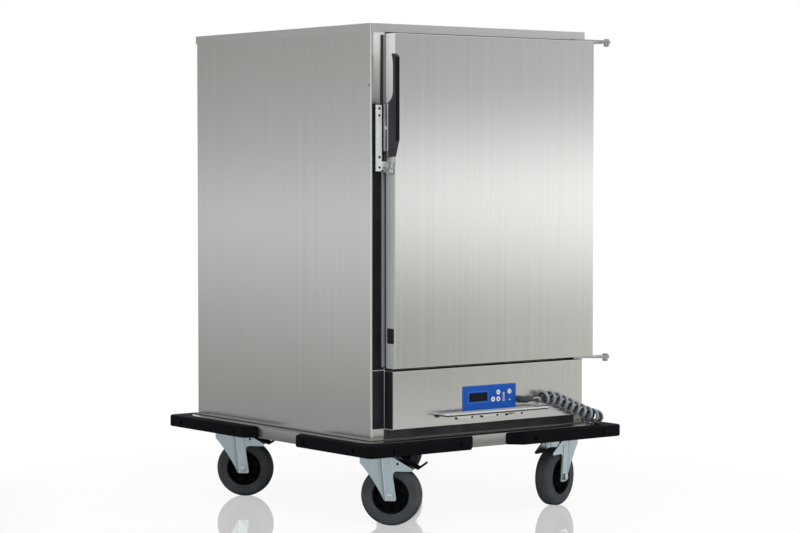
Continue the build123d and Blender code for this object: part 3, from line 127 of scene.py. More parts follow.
class TROLLEY_PG_finish(bpy.types.PropertyGroup):
    """Colours of the finishes."""

    steel: tint("Steel", "Brushed stainless sheet", (0.60, 0.60, 0.585))
    # The low end of the painted light on the door's left edge face.
    fold: tint("Fold", "Dull satin of the door's folded side", (0.66, 0.68, 0.70))
    liner: tint("Liner", "Satin sheet inside", (0.55, 0.55, 0.54))
    heater: tint("Heater", "Heat-tinted tube", (0.32, 0.27, 0.21))
    heater_bare: tint("Bare heater", "Heater tube where it isn't browned", (0.46, 0.44, 0.42))
    bar: tint("Bar", "Polished round bar", (0.70, 0.71, 0.72))
    zinc: tint("Zinc", "Bright zinc plating", (0.50, 0.60, 0.64))
    # A painted highlight along the forks' front folds.
    fold_highlight: tint("Worn zinc", "Plating worn bright along a fold", (0.86, 0.92, 0.94))
    latch: tint("Latch", "Pale satin zinc of the latch", (0.90, 0.93, 0.94))
    hinge: tint("Hinge", "Grey zinc of the hinges", (0.42, 0.43, 0.43))
    rivet: tint("Rivet", "Dull rivet in the left wall", (0.10, 0.10, 0.10))
    keeper_screw: tint("Keeper screw", "Dull screws of the keeper", (0.09, 0.10, 0.10))
    lever: tint("Lever", "Black lever", (0.0025, 0.0025, 0.004))
    # Painted light on the lever's sides.
    lever_lit_side: tint("Lever side", "Worn sides of the lever", (0.036, 0.034, 0.046))
    motor: tint("Motor", "Painted motor housing", (0.22, 0.23, 0.25))
    # This black is painted shade: the strips on the rim and the cap on the control cover's end.
    shade_trim: tint("Trim", "Black moulded trim", (0.012, 0.013, 0.016))
    plinth: tint("Plinth", "Dark grey plinth strip", (0.055, 0.059, 0.063))
    gland: tint("Gland", "Dark grey cord gland", (0.05, 0.055, 0.06))
    screw: tint("Screw", "Blackened bumper screws", (0.020, 0.020, 0.021))
    bumper: tint("Bumper", "Black corner bumpers", (0.0035, 0.0040, 0.0055))
    scuff: tint("Scuff", "Rub marks on the bumpers", (0.05, 0.05, 0.052))
    hub: tint("Hub", "Black wheel hubs and pedals", (0.0025, 0.0025, 0.003))
    tyre: tint("Tyre", "Grey tyre rubber", (0.055, 0.063, 0.069))
    gasket: tint("Gasket", "Grey door seal", (0.20, 0.21, 0.22))
    # Painted shade of a hole in the door's edge.
    pad: tint("Pad", "Black pad on the door's edge", (0.014, 0.014, 0.015))
    # Painted shade in the gap beside the keeper.
    buffer: tint("Buffer", "Black buffer beside the keeper", (0.006, 0.006, 0.008))
    foam: tint("Foam", "Insulation", (0.72, 0.60, 0.33))
    overlay: tint("Overlay", "Blue control film", (0.002, 0.088, 0.45))
    line: tint("Line", "Pale print on the film", (0.07, 0.24, 0.62))
    glass: tint("Glass", "Black display window", (0.002, 0.003, 0.005))
    segment: tint("Segment", "Unlit segments of the display", (0.007, 0.008, 0.010))
    key: tint("Key", "White keys", (0.80, 0.82, 0.84))
    key_ink: tint("Key ink", "Dark marks on the keys", (0.02, 0.05, 0.16))
    power_ink: tint("Power ink", "Red mark on the power key", (0.45, 0.05, 0.06))
    white_ink: tint("White ink", "White marks on the film", (0.75, 0.77, 0.80))
    red_ink: tint("Red ink", "Red mark on the film", (0.55, 0.05, 0.05))
    board: tint("Board", "Green circuit board", (0.02, 0.12, 0.05))
    cord: tint("Cord", "Grey cord jacket", (0.25, 0.275, 0.305))


class TROLLEY_PG_casters(bpy.types.PropertyGroup):
    """Sizes of the wheels."""

    radius: length("Wheel radius", "Half the wheel's diameter", 75 * MM)
    half_width: length("Half width", "Half the tyre's width", 21 * MM)
    rim_radius: length("Rim radius", "Where the tyre sits on its hub", 46 * MM)
    shoulder: length("Shoulder", "Rounding of the tyre's shoulders", 13 * MM)
    boss_radius: length("Boss radius", "Boss round the axle", 15 * MM)
    boss_half: length("Boss half length", "Half the boss's length", 23.4 * MM)
    bore: length("Bore", "Radius of the axle's bore", 5.05 * MM)
    axle_cap: length("Axle cap", "Radius of the turned ends of the axle bolts", 6.2 * MM)
    axle_tall: length("Axle cap height", "How far the turned ends stand out", 1.6 * MM)
    axle_reach: length("Axle reach", "From the wheel's middle to the axle bolt's ends", 35.5 * MM)
    ribs: IntProperty(name="Ribs", description="Ribs on each side of a hub", default=8, min=3)


class TROLLEY_PG_cord(bpy.types.PropertyGroup):
    """Sizes of the curly cord."""

    diameter: length("Diameter", "Across the jacket", 8.5 * MM)
    coil: length("Coil radius", "From the route to the wound cord's middle", 13.5 * MM)
    lead: length("Lead", "Straight run at both ends", 12.75 * MM)
    curls: IntProperty(name="Curls", description="Turns of the wound cord", default=21, min=4)


class TROLLEY_PG_bumpers(bpy.types.PropertyGroup):
    """Sizes of the deck's ledge and of the corner bumpers."""

    ledge_side: length("Side ledge", "How far the deck stands out beside the cabinet", 33 * MM)
    ledge_front: length("Front ledge", "How far the deck stands out before the cabinet", 50 * MM)
    ledge_rear: length("Rear ledge", "How far the deck stands out behind the cabinet", 24 * MM)
    ledge_rise: length("Ledge rise", "How far the ledge stands above the bumpers", 0.9 * MM)
    ledge_fold: length("Ledge fold", "Rounding of the ledge's folded edge", 1.5 * MM)
    deck_corner: length("Deck corner", "Rounding of the ledge's corners", 64 * MM)
    corner: length("Corner", "Rounding of the outer corners", 22 * MM)
    tip: length("Tip", "Rounding of the ends", 9 * MM)
    edge: length("Edge", "Rounding of the upper and lower edges", 4 * MM)
    slant: share("Slant", "Slant of the ends, as a share of their depth", 0.9)
    recess: length("Recess", "Radius of the screws' recesses", 5.6 * MM)
    recess_depth: length("Recess depth", "Depth of the screws' recesses", 9 * MM)
    screw_corner: length("Corner screw", "From the outer corner to the first screw", 70 * MM)
    screw_end: length("End screw", "From the end to the second screw", 35 * MM)


class TROLLEY_PG_parts(bpy.types.PropertyGroup):
    """Sizes of fasteners, trim and prints."""

    cap_screw: length("Cap screw", "Head radius of the bumper screws", 4.6 * MM)
    cap_tall: length("Cap height", "Head height of the bumper screws", 4 * MM)
    keeper_screw: length("Keeper screw", "Head radius of the keeper's screws", 3.2 * MM)
    keeper_tall: length("Keeper screw height", "Head height of the keeper's screws", 1.2 * MM)
    keeper_width: length("Keeper width", "Width of the keeper's strip", 16 * MM)
    keeper_nose: length("Keeper nose", "How far the keeper's nose stands before its strip", 3.5 * MM)
    plate_bolt: length("Plate bolt", "Corner radius of the caster bolts", 6.5 * MM)
    bolt_tall: length("Bolt height", "Head height of the caster bolts", 4.5 * MM)
    rivet: length("Rivet", "Head radius of the wall's rivet", 2.6 * MM)
    rivet_tall: length("Rivet head", "Head height of the wall's rivet", 0.9 * MM)
    rivet_height: length("Rivet height", "From the wall's lower edge to the rivet", 862 * MM)
    trim_thickness: length("Trim thickness", "Thickness of the black strips", 1.2 * MM)
    wall_fold: length("Wall fold", "How far the left wall's fold comes round the front", 4.6 * MM)
    plate_sheet: length("Plate sheet", "Thickness of the casters' top plates", 4.0 * MM)
    bolt_square: length("Bolt square", "Half the distance between a caster's bolts", 29.0 * MM)
    print_thickness: length("Print thickness", "Thickness of the printed marks", 0.12 * MM)
    key_mark: length("Key mark", "Corner radius of the marks on the keys", 3.0 * MM)
    segment: length("Segment", "Length of the display's segments", 5.6 * MM)
    segment_width: length("Segment width", "Width of the display's segments", 1.1 * MM)
    segment_gap: length("Segment gap", "Gap between the display's segments", 0.5 * MM)
    digit_pitch: length("Digit pitch", "From one digit of the display to the next", 13.0 * MM)


class TROLLEY_PG_settings(bpy.types.PropertyGroup):
    """All settings of the trolley."""

    stage: PointerProperty(type=TROLLEY_PG_stage, name="Stage", description="Camera, light and floor")
    finish: PointerProperty(type=TROLLEY_PG_finish, name="Finish", description="Colours of the finishes")
    casters: PointerProperty(type=TROLLEY_PG_casters, name="Casters", description="Sizes of the wheels")
    cord: PointerProperty(type=TROLLEY_PG_cord, name="Cord", description="Sizes of the curly cord")
    bumpers: PointerProperty(type=TROLLEY_PG_bumpers, name="Bumpers", description="Ledge and bumper sizes")
    parts: PointerProperty(type=TROLLEY_PG_parts, name="Parts", description="Fasteners, trim and prints")


def settings():
    """The trolley's settings."""
    return bpy.context.scene.trolley


# Shader maths

class Wire:
    """An output socket of a node. Expressions on it add Math nodes."""

    def __init__(self, paint, socket):
        self.paint = paint
        self.socket = socket

    def __add__(self, other):
        return self.paint.math("ADD", self, other)

    def __sub__(self, other):
        return self.paint.math("SUBTRACT", self, other)

    def __rsub__(self, other):
        return self.paint.math("SUBTRACT", other, self)

    def __mul__(self, other):
        return self.paint.math("MULTIPLY", self, other)

    def __truediv__(self, other):
        return self.paint.math("DIVIDE", self, other)

    def __rtruediv__(self, other):
        return self.paint.math("DIVIDE", other, self)

    def __pow__(self, other):
        return self.paint.math("POWER", self, other)

    def __abs__(self):
        return self.paint.math("ABSOLUTE", self)

    __radd__ = __add__
    __rmul__ = __mul__


class Paint:
    """The nodes of a material or of the world."""

    def __init__(self, owner, shader):
        owner.use_nodes = True
        self.owner = owner
        self.tree = owner.node_tree
        self.shader = self.tree.nodes[shader]

    def put(self, socket, value):
        """Links a wire to a socket, or sets a number or colour on it."""
        if isinstance(value, Wire):
            self.tree.links.new(value.socket, socket)
        elif hasattr(value, "__len__") and len(value) == 3 and socket.type == "RGBA":
            socket.default_value = (*value, 1.0)
        else:
            socket.default_value = value

    def feed(self, **sockets):
        """Sets or links sockets of the main shader, with _ for a space in their names. Gives the material."""
        for name, value in sockets.items():
            self.put(self.shader.inputs[name.replace("_", " ")], value)
        return self.owner

    def cover(self, shader):
        """Makes another shader the material's surface. Gives the material."""
        self.put(self.tree.nodes["Material Output"].inputs["Surface"], shader)
        return self.owner

    def node(self, kind, settings=None, inputs=None, output=0):
        """Any node: its settings first, then its inputs. Gives the named output."""
        made = self.tree.nodes.new(kind)
        for name, value in (settings or {}).items():
            if name == "stops":
                self.set_stops(made.color_ramp, value)
            else:
                setattr(made, name, value)
        for name, value in (inputs or {}).items():
            self.put(made.inputs[name], value)
        return Wire(self, made.outputs[output])

    @staticmethod
    def set_stops(ramp, stops):
        """Stops of a colour ramp as (place, colour)."""
        while len(ramp.elements) < len(stops):
            ramp.elements.new(1.0)
        for element, (along, colour) in zip(ramp.elements, stops):
            element.position = along
            element.color = (*colour, 1.0)

    def math(self, operation, *values):
        """A sum of the given kind on numbers."""
        return self.node("ShaderNodeMath", {"operation": operation}, dict(enumerate(values)))

    def at(self, scale=(1.0, 1.0, 1.0)):
        """Object coordinates, scaled."""
        where = self.node("ShaderNodeTexCoord", output="Object")
        return self.node("ShaderNodeMapping", None, {"Vector": where, "Scale": scale})

    def axes(self):
        """The three object coordinates as numbers."""
        where = self.node("ShaderNodeTexCoord", output="Object")
        return [self.node("ShaderNodeSeparateXYZ", None, {0: where}, axis) for axis in range(3)]

    def noise(self, scale, detail=2.0, rough=0.5, stretch=(1.0, 1.0, 1.0)):
        """Noise on the object coordinates, with cells of a metre over the scale and each axis's stretch."""
        return self.node("ShaderNodeTexNoise", None,
                         {"Vector": self.at(stretch), "Scale": scale, "Detail": detail, "Roughness": rough})

    def span(self, value, low, high, to_low=0.0, to_high=1.0):
        """A smooth step of a value from one range to another, held outside it."""
        return self.node("ShaderNodeMapRange", {"interpolation_type": "SMOOTHSTEP"}, {
            "Value": value, "From Min": low, "From Max": high, "To Min": to_low, "To Max": to_high})

    def fall(self, value, low, high, top=1.0):
        """A smooth step down from a top to 0."""
        return self.span(value, low, high, top, 0.0)

    def mix(self, amount, first, second, held=True):
        """A colour between two colours, or beyond the second one if the amount isn't held."""
        return self.node("ShaderNodeMix", {"data_type": "RGBA", "clamp_factor": held},
                         {0: amount, 6: first, 7: second}, 2)

    def shades(self, amount, colour, first, second):
        """A colour between two shades of it, each given as a factor."""
        return self.mix(amount, scaled(colour, first), scaled(colour, second))

    def ramp(self, value, stops):
        """The colour of a ramp at a value."""
        return self.node("ShaderNodeValToRGB", {"stops": stops}, {"Fac": value})

    def bump(self, height, distance):
        """Normals of a surface raised by a height times a distance."""
        return self.node("ShaderNodeBump", None, {"Height": height, "Distance": distance, "Strength": 1.0})


def paint(name):
    """A new material's nodes."""
    return Paint(bpy.data.materials.new(name), "Principled BSDF")


def scaled(colour, factor):
    """Each part of a colour, or of a grain, times a factor."""
    return tuple(part * factor for part in colour)


def grey(level):
    """A colour with three equal parts."""
    return (level,) * 3


# Finishes

SHEET_GRAIN = (850.0, 850.0, 4.0)
CAP_GRAIN = (5.0, 850.0, 850.0)
LEDGE_GRAIN = (40.0, 40.0, 850.0)

# Folds of a fork's leg: how far past the axle each lies, the height at which it does, and its lean
FRONT_FOLD = (-12 * MM, 80 * MM, 0.0927)
REAR_FOLD = (12 * MM, 66 * MM, 0.1006)


def brushed_steel(colour, name="brushed_steel", grain=SHEET_GRAIN, anisotropy=0.75, edge=None, painted_light_heights=None):
    """Stainless sheet with long fine hairs along its grain, wider bands and faint wiping clouds. Between the
    two painted light heights, if given, it goes from painted shade below to a painted highlight above, half
    diffuse there. If an edge's X is given too, it keeps left of that, on the plain satin of the sheet's
    folded side."""
    p = paint(name)
    hairs = p.noise(1.0, 3.0, 0.65, grain)
    bands = p.noise(1.0, 2.0, 0.5, scaled(grain, 0.16))
    clouds = p.noise(1.0, 3.0, 0.5, (2.4, 2.4, 1.6))
    streak = hairs * 0.6 + bands * 0.4
    tone = p.shades(p.span(streak, 0.3, 0.7), colour, 0.97, 1.03)
    rough = 0.18 + streak * 0.05 + clouds * 0.05
    metallic = 1.0
    # Painted light: painted shade low down, rising to a painted highlight with half the metal at the upper
    # height.
    if painted_light_heights is not None:
        bright = p.span(p.axes()[2], *painted_light_heights)
        if edge is None:
            tone = p.shades(bright, colour, 0.85, 1.5)
        else:
            side = p.fall(p.axes()[0], edge, edge + 0.5 * MM)
            tone = p.mix(side, tone, p.mix(bright, settings().finish.fold, scaled(colour, 1.5)))
            rough = rough + side * 0.3
            bright = bright * side
        metallic = 1.0 - bright * 0.5
    return p.feed(Anisotropic=anisotropy, Metallic=metallic, Base_Color=tone, Roughness=rough,
                  Normal=p.bump(streak, 0.008 * MM))


def satin_steel(colour, name="satin_steel"):
    """Plain satin sheet with soft stains and a fine even tooth."""
    p = paint(name)
    stains = p.noise(7.0, 4.0, 0.6)
    tooth = p.noise(900.0)
    return p.feed(Metallic=1.0,
                  Base_Color=p.shades(p.span(stains, 0.35, 0.7), colour, 1.05, 0.86),
                  Roughness=0.30 + stains * 0.14,
                  Normal=p.bump(tooth, 0.01 * MM))


def heat_tint(colour):
    """Sheathed heater tube, browned in bands by its heat."""
    p = paint("heat_tint")
    bands = p.noise(16.0, 3.0)
    return p.feed(Metallic=1.0,
                  Base_Color=p.mix(p.span(bands, 0.35, 0.65), colour, settings().finish.heater_bare),
                  Roughness=0.32 + bands * 0.2)


def polished_bar(colour, name="polished_bar", middle=None):
    """Polished round bar with faint drawing lines. Below its middle height, if given, it is painted dark as
    shade.
    """
    p = paint(name)
    lines = p.noise(1.0, 2.0, 0.5, (6.0, 700.0, 700.0))
    tone = p.shades(lines, colour, 0.92, 1.0)
    if middle is not None:
        # Painted shade below the bar's middle height.
        above = p.span(p.axes()[2], middle - 1.5 * MM, middle + 1 * MM)
        tone = p.mix(above, scaled(colour, 0.1), tone)
    return p.feed(Metallic=1.0, Base_Color=tone, Roughness=0.12 + lines * 0.09)


def zinc_plate(colour, name="zinc_plate", rough=0.32, metallic=1.0):
    """Bright zinc plating: bluish, softly mottled, a little stained."""
    p = paint(name)
    mottle = p.noise(55.0, 4.0, 0.6)
    stains = p.noise(14.0, 3.0)
    tooth = p.noise(700.0)
    tone = p.shades(p.span(mottle, 0.3, 0.7), colour, 0.94, 1.05)
    return p.feed(Metallic=metallic,
                  Base_Color=p.mix(p.span(stains, 0.58, 0.8) * 0.2, tone, scaled(colour, 0.75)),
                  Roughness=rough + mottle * 0.10,
                  Normal=p.bump(tooth, 0.015 * MM))


def pressed_zinc(colour, corner):
    """Zinc plating of a pressed fork. A rib stands on each leg between two slanting folds, with a painted
    highlight along the front fold and painted shade on the wing beside it."""
    x, y, _ = JOINTS["swivel_" + corner]["pos_m"]
    axle = JOINTS["roll_" + corner]["pos_m"]
    trail = math.hypot(axle[0] - x, axle[1] - y)
    p = paint("pressed_zinc_" + corner)
    across_x, across_y, z = p.axes()
    along = (across_x - x) * ((axle[0] - x) / trail) + (across_y - y) * ((axle[1] - y) / trail)
    front, rear = [along - (trail + past) + (z - height) * lean
                   for past, height, lean in (FRONT_FOLD, REAR_FOLD)]
    rib = p.span(front, -4 * MM, 0.5 * MM) * p.fall(rear, -0.5 * MM, 4 * MM)
    # Painted highlight along the front fold, and painted shade on the wing beside it.
    painted_light = p.fall(abs(front), 0.3 * MM, 1.6 * MM)
    painted_wing_shade = p.span(front, -16 * MM, 0.0, 0.2, 1.0) * p.fall(front, 0.0, 0.8 * MM)
    mottle = p.noise(55.0, 4.0, 0.6)
    stains = p.noise(14.0, 3.0)
    tone = p.shades(p.span(mottle, 0.3, 0.7), colour, 0.96, 1.06)
    tone = p.mix(painted_wing_shade * 0.8, tone, scaled(colour, 0.55))
    tone = p.mix(p.span(stains, 0.5, 0.8) * 0.4, tone, scaled(colour, 0.7))
    return p.feed(Metallic=1.0,
                  Base_Color=p.mix(painted_light * 0.8, tone, settings().finish.fold_highlight),
                  Roughness=0.30 + mottle * 0.10,
                  Normal=p.bump(rib, 1.2 * MM))


def motor_paint(colour):
    """Painted casting with a fine orange peel."""
    p = paint("motor_paint")
    peel = p.noise(420.0)
    return p.feed(Base_Color=p.shades(peel, colour, 0.9, 1.1),
                  Roughness=0.38 + peel * 0.12,
                  Normal=p.bump(peel, 0.04 * MM))


def moulded_black(colour, name, gloss=0.42, specular=0.28):
    """Moulded black plastic: fine spark-eroded grain, rubbed a little smoother in patches."""
    p = paint(name)
    tooth = p.noise(620.0, 3.0, 0.6)
    rubs = p.noise(18.0, 3.0)
    return p.feed(Specular_IOR_Level=specular,
                  Base_Color=p.mix(p.span(rubs, 0.4, 0.75), colour, [part * 1.6 + 0.004 for part in colour]),
                  Roughness=gloss + tooth * 0.12 - p.span(rubs, 0.5, 0.8) * 0.08,
                  Normal=p.bump(tooth, 0.03 * MM))


def lever_plastic(colour, lit_side_colour):
    """Moulded lever: black in front, its sides a lighter violet grey of painted light, unevenly mottled."""
    p = paint("lever_plastic")
    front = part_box("latch_lever")[0].y
    side = p.span(p.axes()[1], front + 0.8 * MM, front + 2.4 * MM)
    tooth = p.noise(620.0, 3.0, 0.6)
    rubs = p.noise(18.0, 3.0)
    # Painted light: the sides lighter than the front.
    painted_light = p.shades(p.span(rubs, 0.35, 0.75), lit_side_colour, 1.0, 1.3)
    return p.feed(Specular_IOR_Level=0.14,
                  Base_Color=p.mix(side, colour, painted_light),
                  Roughness=0.40 + tooth * 0.12,
                  Normal=p.bump(tooth, 0.03 * MM))


def bumper_plastic(colour):
    """Black bumper: matt, with pale rub marks along its faces at half height."""
    p = paint("bumper_plastic")
    tooth = p.noise(480.0, 3.0, 0.6)
    scuff = p.noise(1.0, 4.0, 0.7, (30.0, 30.0, 260.0))
    low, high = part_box("bumper_front_left")
    from_middle = abs(p.axes()[2] - (low.z + high.z) / 2)
    rubbed = p.span(scuff, 0.60, 0.74) * p.fall(from_middle, 4 * MM, 14 * MM)
    return p.feed(Specular_IOR_Level=0.06,
                  Base_Color=p.mix(rubbed * 0.25, colour, settings().finish.scuff),
                  Roughness=0.66 + tooth * 0.14,
                  Normal=p.bump(tooth + scuff * 0.4, 0.04 * MM))


def tyre_rubber(colour):
    """Grey rubber with floor dust in soft patches and fine scratches."""
    p = paint("tyre_rubber")
    dust = p.noise(26.0, 5.0, 0.65)
    scratch = p.noise(1.0, 3.0, 0.5, (60.0, 60.0, 900.0))
    return p.feed(Specular_IOR_Level=0.22,
                  Base_Color=p.shades(p.span(dust, 0.42, 0.78) * 0.45, colour, 1.0, 2.2),
                  Roughness=0.56 + dust * 0.18,
                  Normal=p.bump(dust * 0.5 + scratch * 0.5, 0.05 * MM))


def seal_rubber(colour, left=None):
    """Soft grey seal with a dusty bloom. If the X of its left side is given, the face beside that gets
    painted shade along its left high up and along its right low down."""
    p = paint("seal_rubber")
    bloom = p.noise(40.0, 4.0)
    tone = p.shades(bloom, colour, 0.85, 1.15)
    if left is not None:
        x, _, z = p.axes()
        high = p.span(z, 0.86, 1.02)
        by_left = p.fall(x, left + 3.0 * MM, left + 5.0 * MM)
        by_right = p.span(x, left + 6.5 * MM, left + 8.5 * MM)
        # Painted shade on the seal's face beside its left side.
        tone = p.mix(by_left * high + by_right * (1.0 - high), tone, scaled(colour, 0.12))
    return p.feed(Specular_IOR_Level=0.25, Base_Color=tone, Roughness=0.6 + bloom * 0.15)


def cut_foam(colour):
    """Cut insulation foam with small open cells."""
    p = paint("cut_foam")
    cells = p.node("ShaderNodeTexVoronoi", None, {"Vector": p.at(), "Scale": 420.0})
    return p.feed(Specular_IOR_Level=0.1, Roughness=0.9,
                  Base_Color=p.shades(p.span(cells, 0.0, 0.6), colour, 0.75, 1.0),
                  Normal=p.bump(cells, 0.4 * MM))


def overlay_film(colour, line):
    """Blue control film: a pale line inside its edge and round the display, over a faint matt tooth. A
    point's distance outside a box is the larger of its distances beyond the sides in X and in Z."""
    p = paint("overlay_film")
    x, _, z = p.axes()

    def outside(low, high):
        """That distance for a box."""
        return p.math("MAXIMUM", abs(x - (high.x + low.x) / 2) - (high.x - low.x) / 2,
                      abs(z - (high.z + low.z) / 2) - (high.z - low.z) / 2)

    offset = 1.2 * MM
    edge = p.fall(abs(outside(*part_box("control_overlay")) + offset), 0.6 * MM, 0.9 * MM)
    window = p.fall(abs(outside(*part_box("display_window")) - offset), 0.6 * MM, 0.9 * MM)
    tooth = p.noise(900.0)
    haze = p.noise(30.0, 3.0)
    film = p.shades(haze, colour, 0.9, 1.12)
    return p.feed(Specular_IOR_Level=0.18,
                  Base_Color=p.mix(p.math("MAXIMUM", edge * 0.35, window * 0.6), film, line),
                  Roughness=0.40 + tooth * 0.14,
                  Normal=p.bump(tooth, 0.008 * MM))


def display_glass(colour):
    """Black display window with a clear coat and faint wiping haze."""
    p = paint("display_glass")
    haze = p.noise(1.0, 3.0, 0.5, (60.0, 60.0, 220.0))
    return p.feed(Specular_IOR_Level=0.10, Coat_Weight=0.08, Coat_Roughness=0.08,
                  Base_Color=p.shades(haze, colour, 1.0, 2.0),
                  Roughness=0.14 + haze * 0.12)


def key_plastic(colour):
    """White key caps, a little soiled."""
    p = paint("key_plastic")
    soil = p.noise(160.0, 3.0)
    return p.feed(Specular_IOR_Level=0.35,
                  Base_Color=p.shades(p.span(soil, 0.45, 0.8) * 0.5, colour, 1.0, 0.72),
                  Roughness=0.36 + soil * 0.12)


def circuit_board(colour):
    """Green board with pale tracks in both directions."""
    p = paint("circuit_board")
    upright = p.noise(1.0, 1.0, 0.5, (220.0, 30.0, 30.0))
    level = p.noise(1.0, 1.0, 0.5, (30.0, 30.0, 260.0))
    tracks = upright * level
    return p.feed(Base_Color=p.shades(p.span(tracks, 0.26, 0.30), colour, 1.0, 2.4),
                  Roughness=0.35 + tracks * 0.3)


def cord_jacket(colour):
    """Grey cord jacket with a satin skin and fine dust, with painted shade where it faces the inside of the
    curls.
    """
    p = paint("cord_jacket")
    inside = p.node("ShaderNodeAttribute", {"attribute_name": "inside"}, output="Fac")
    dust = p.noise(90.0, 4.0, 0.6)
    skin = p.noise(800.0)
    outer = p.shades(p.span(dust, 0.35, 0.75), colour, 1.0, 1.35)
    return p.feed(Specular_IOR_Level=0.4,
                  # Painted shade on the side facing the inside of the curls.
                  Base_Color=p.mix(p.span(inside, 0.2, 0.75), outer, scaled(colour, 0.06)),
                  Roughness=0.36 + dust * 0.16,
                  Normal=p.bump(skin, 0.02 * MM))


def plain_print(name, colour):
    """Printed ink with slightly uneven cover."""
    p = paint(name)
    cover = p.noise(260.0)
    return p.feed(Specular_IOR_Level=0.3,
                  Base_Color=p.shades(cover, colour, 0.88, 1.0),
                  Roughness=0.4 + cover * 0.15)


# Surfaces

def quads(index):
    """Faces between neighbours on a grid of point numbers."""
    corners = [index[:-1, :-1], index[:-1, 1:], index[1:, 1:], index[1:, :-1]]
    return np.stack(corners, -1).reshape(-1, 4).tolist()


class Shell:
    """Closed surfaces, gathered into one mesh."""

    def __init__(self):
        self.points = []
        self.faces = []
        self.total = 0

    def add(self, grid, round_rows=False, ends=True):
        """Quads between neighbours on a grid of points, whose rows are closed rings. Round rows join the last
        ring to the first, and ends close the first and the last ring with a face each."""
        rows, columns = grid.shape[:2]
        index = self.total + np.arange(rows * columns).reshape(rows, columns)
        if ends:
            self.faces += [index[0].tolist(), index[-1].tolist()]
        if round_rows:
            index = np.vstack([index, index[:1]])
        self.faces += quads(np.hstack([index, index[:, :1]]))
        self.points.append(grid.reshape(-1, 3))
        self.total += rows * columns
        return self

    def mesh(self, name):
        """The mesh, with doubles merged and faces outwards."""
        mesh = bpy.data.meshes.new(name)
        mesh.from_pydata(np.concatenate(self.points).tolist(), [], self.faces)
        work = bmesh.new()
        work.from_mesh(mesh)
        bmesh.ops.remove_doubles(work, verts=work.verts, dist=1e-7)
        bmesh.ops.recalc_face_normals(work, faces=work.faces)
        work.to_mesh(mesh)
        work.free()
        return mesh

    def piece(self, name, material, body, slot, replaces=(), holes=None, crease=32.0):
        """Makes the object, cut by the shell of holes if one is given. Edges sharper than the crease, in
        degrees, stay sharp."""
        mesh = self.mesh(name)
        if holes is not None:
            mesh = drilled(mesh, holes)
        mesh.shade_smooth()
        mesh.set_sharp_from_angle(angle=math.radians(crease))
        mesh.materials.append(material)
        made = bpy.data.objects.new(name, mesh)
        bpy.context.scene.collection.objects.link(made)
        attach(made, body)
        if replaces:
            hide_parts(*replaces)
        return made


def drilled(mesh, holes):
    """The mesh less the shell of holes."""
    blank = bpy.data.objects.new(mesh.name, mesh)
    tool = bpy.data.objects.new("drill", holes.mesh("drill"))
    for holder in (blank, tool):
        bpy.context.scene.collection.objects.link(holder)
    cut = blank.modifiers.new("cut", "BOOLEAN")
    cut.operation = "DIFFERENCE"
    cut.solver = "EXACT"
    cut.object = tool
    shaped = bpy.data.meshes.new_from_object(blank.evaluated_get(bpy.context.evaluated_depsgraph_get()))
    bpy.data.objects.remove(blank)
    bpy.data.objects.remove(tool)
    return shaped


def unit(vectors):
    """Each vector over its length."""
    return vectors / np.linalg.norm(vectors, axis=-1, keepdims=True)


def smooth(value):
    """A step from 0 to 1 that starts and ends level."""
    value = np.clip(value, 0.0, 1.0)
    return value * value * (3 - 2 * value)


def sides_of(axis):
    """An axis as a unit direction, and two unit directions square to it."""
    axis = np.asarray(axis, float) / np.linalg.norm(axis)
    first = np.cross(axis, UP if abs(axis[2]) < 0.9 else (1.0, 0.0, 0.0))
    first /= np.linalg.norm(first)
    return axis, first, np.cross(axis, first)


def turned(radii, heights, centre, axis):
    """A profile turned about an axis: each row is a ring at its height, whose radius may change round it."""
    axis, first, second = sides_of(axis)
    radii, heights = np.broadcast_arrays(radii, heights)
    angle = np.linspace(0.0, 2 * np.pi, radii.shape[1], endpoint=False)
    out = np.cos(angle)[:, None] * first + np.sin(angle)[:, None] * second
    return np.asarray(centre) + radii[..., None] * out + heights[..., None] * axis


def rounded_outline(half_width, half_height, radius, steps=6):
    """A rectangle whose corners are quarter circles, as points round it."""
    angle = np.radians(90.0 * np.arange(4)[:, None] + np.linspace(0.0, 90.0, steps))
    signs = np.array([(1, 1), (-1, 1), (-1, -1), (1, -1)])[:, None]
    corner = signs * (half_width - radius, half_height - radius)
    return (corner + radius * np.stack([np.cos(angle), np.sin(angle)], -1)).reshape(-1, 2)


def slab(low, high, axis=1, ease=0.4 * MM, radius=0.8 * MM):
    """A rounded rectangle carried along an axis. Its first and last ring are drawn in by the ease."""
    low = np.asarray(low, float)
    high = np.asarray(high, float)
    across = [k for k in range(3) if k != axis]
    half = (high - low)[across] / 2
    along = np.array([low[axis], low[axis] + ease, high[axis] - ease, high[axis]])
    inset = np.array([ease, 0.0, 0.0, ease])
    outline = np.stack([rounded_outline(*(half - e), max(radius - e, 1e-5)) for e in inset])
    grid = np.empty(outline.shape[:2] + (3,))
    grid[..., across] = outline + (low + high)[across] / 2
    grid[..., axis] = along[:, None]
    return grid


def add_raised(shell, seat, height, spans, radius=0.8 * MM):
    """Adds slabs that stand on a seat's Y towards the front, each between two X and two Z."""
    for low_x, high_x, low_z, high_z in spans:
        shell.add(slab((low_x, seat - height, low_z), (high_x, seat, high_z), radius=radius))
    return shell


def mark(outline, back, thickness):
    """A flat outline in X and Z, carried from its back's Y to the front by its thickness."""
    grid = np.empty((2, len(outline), 3))
    grid[..., 0] = outline[:, 0]
    grid[..., 2] = outline[:, 1]
    grid[..., 1] = np.array([back, back - thickness])[:, None]
    return grid


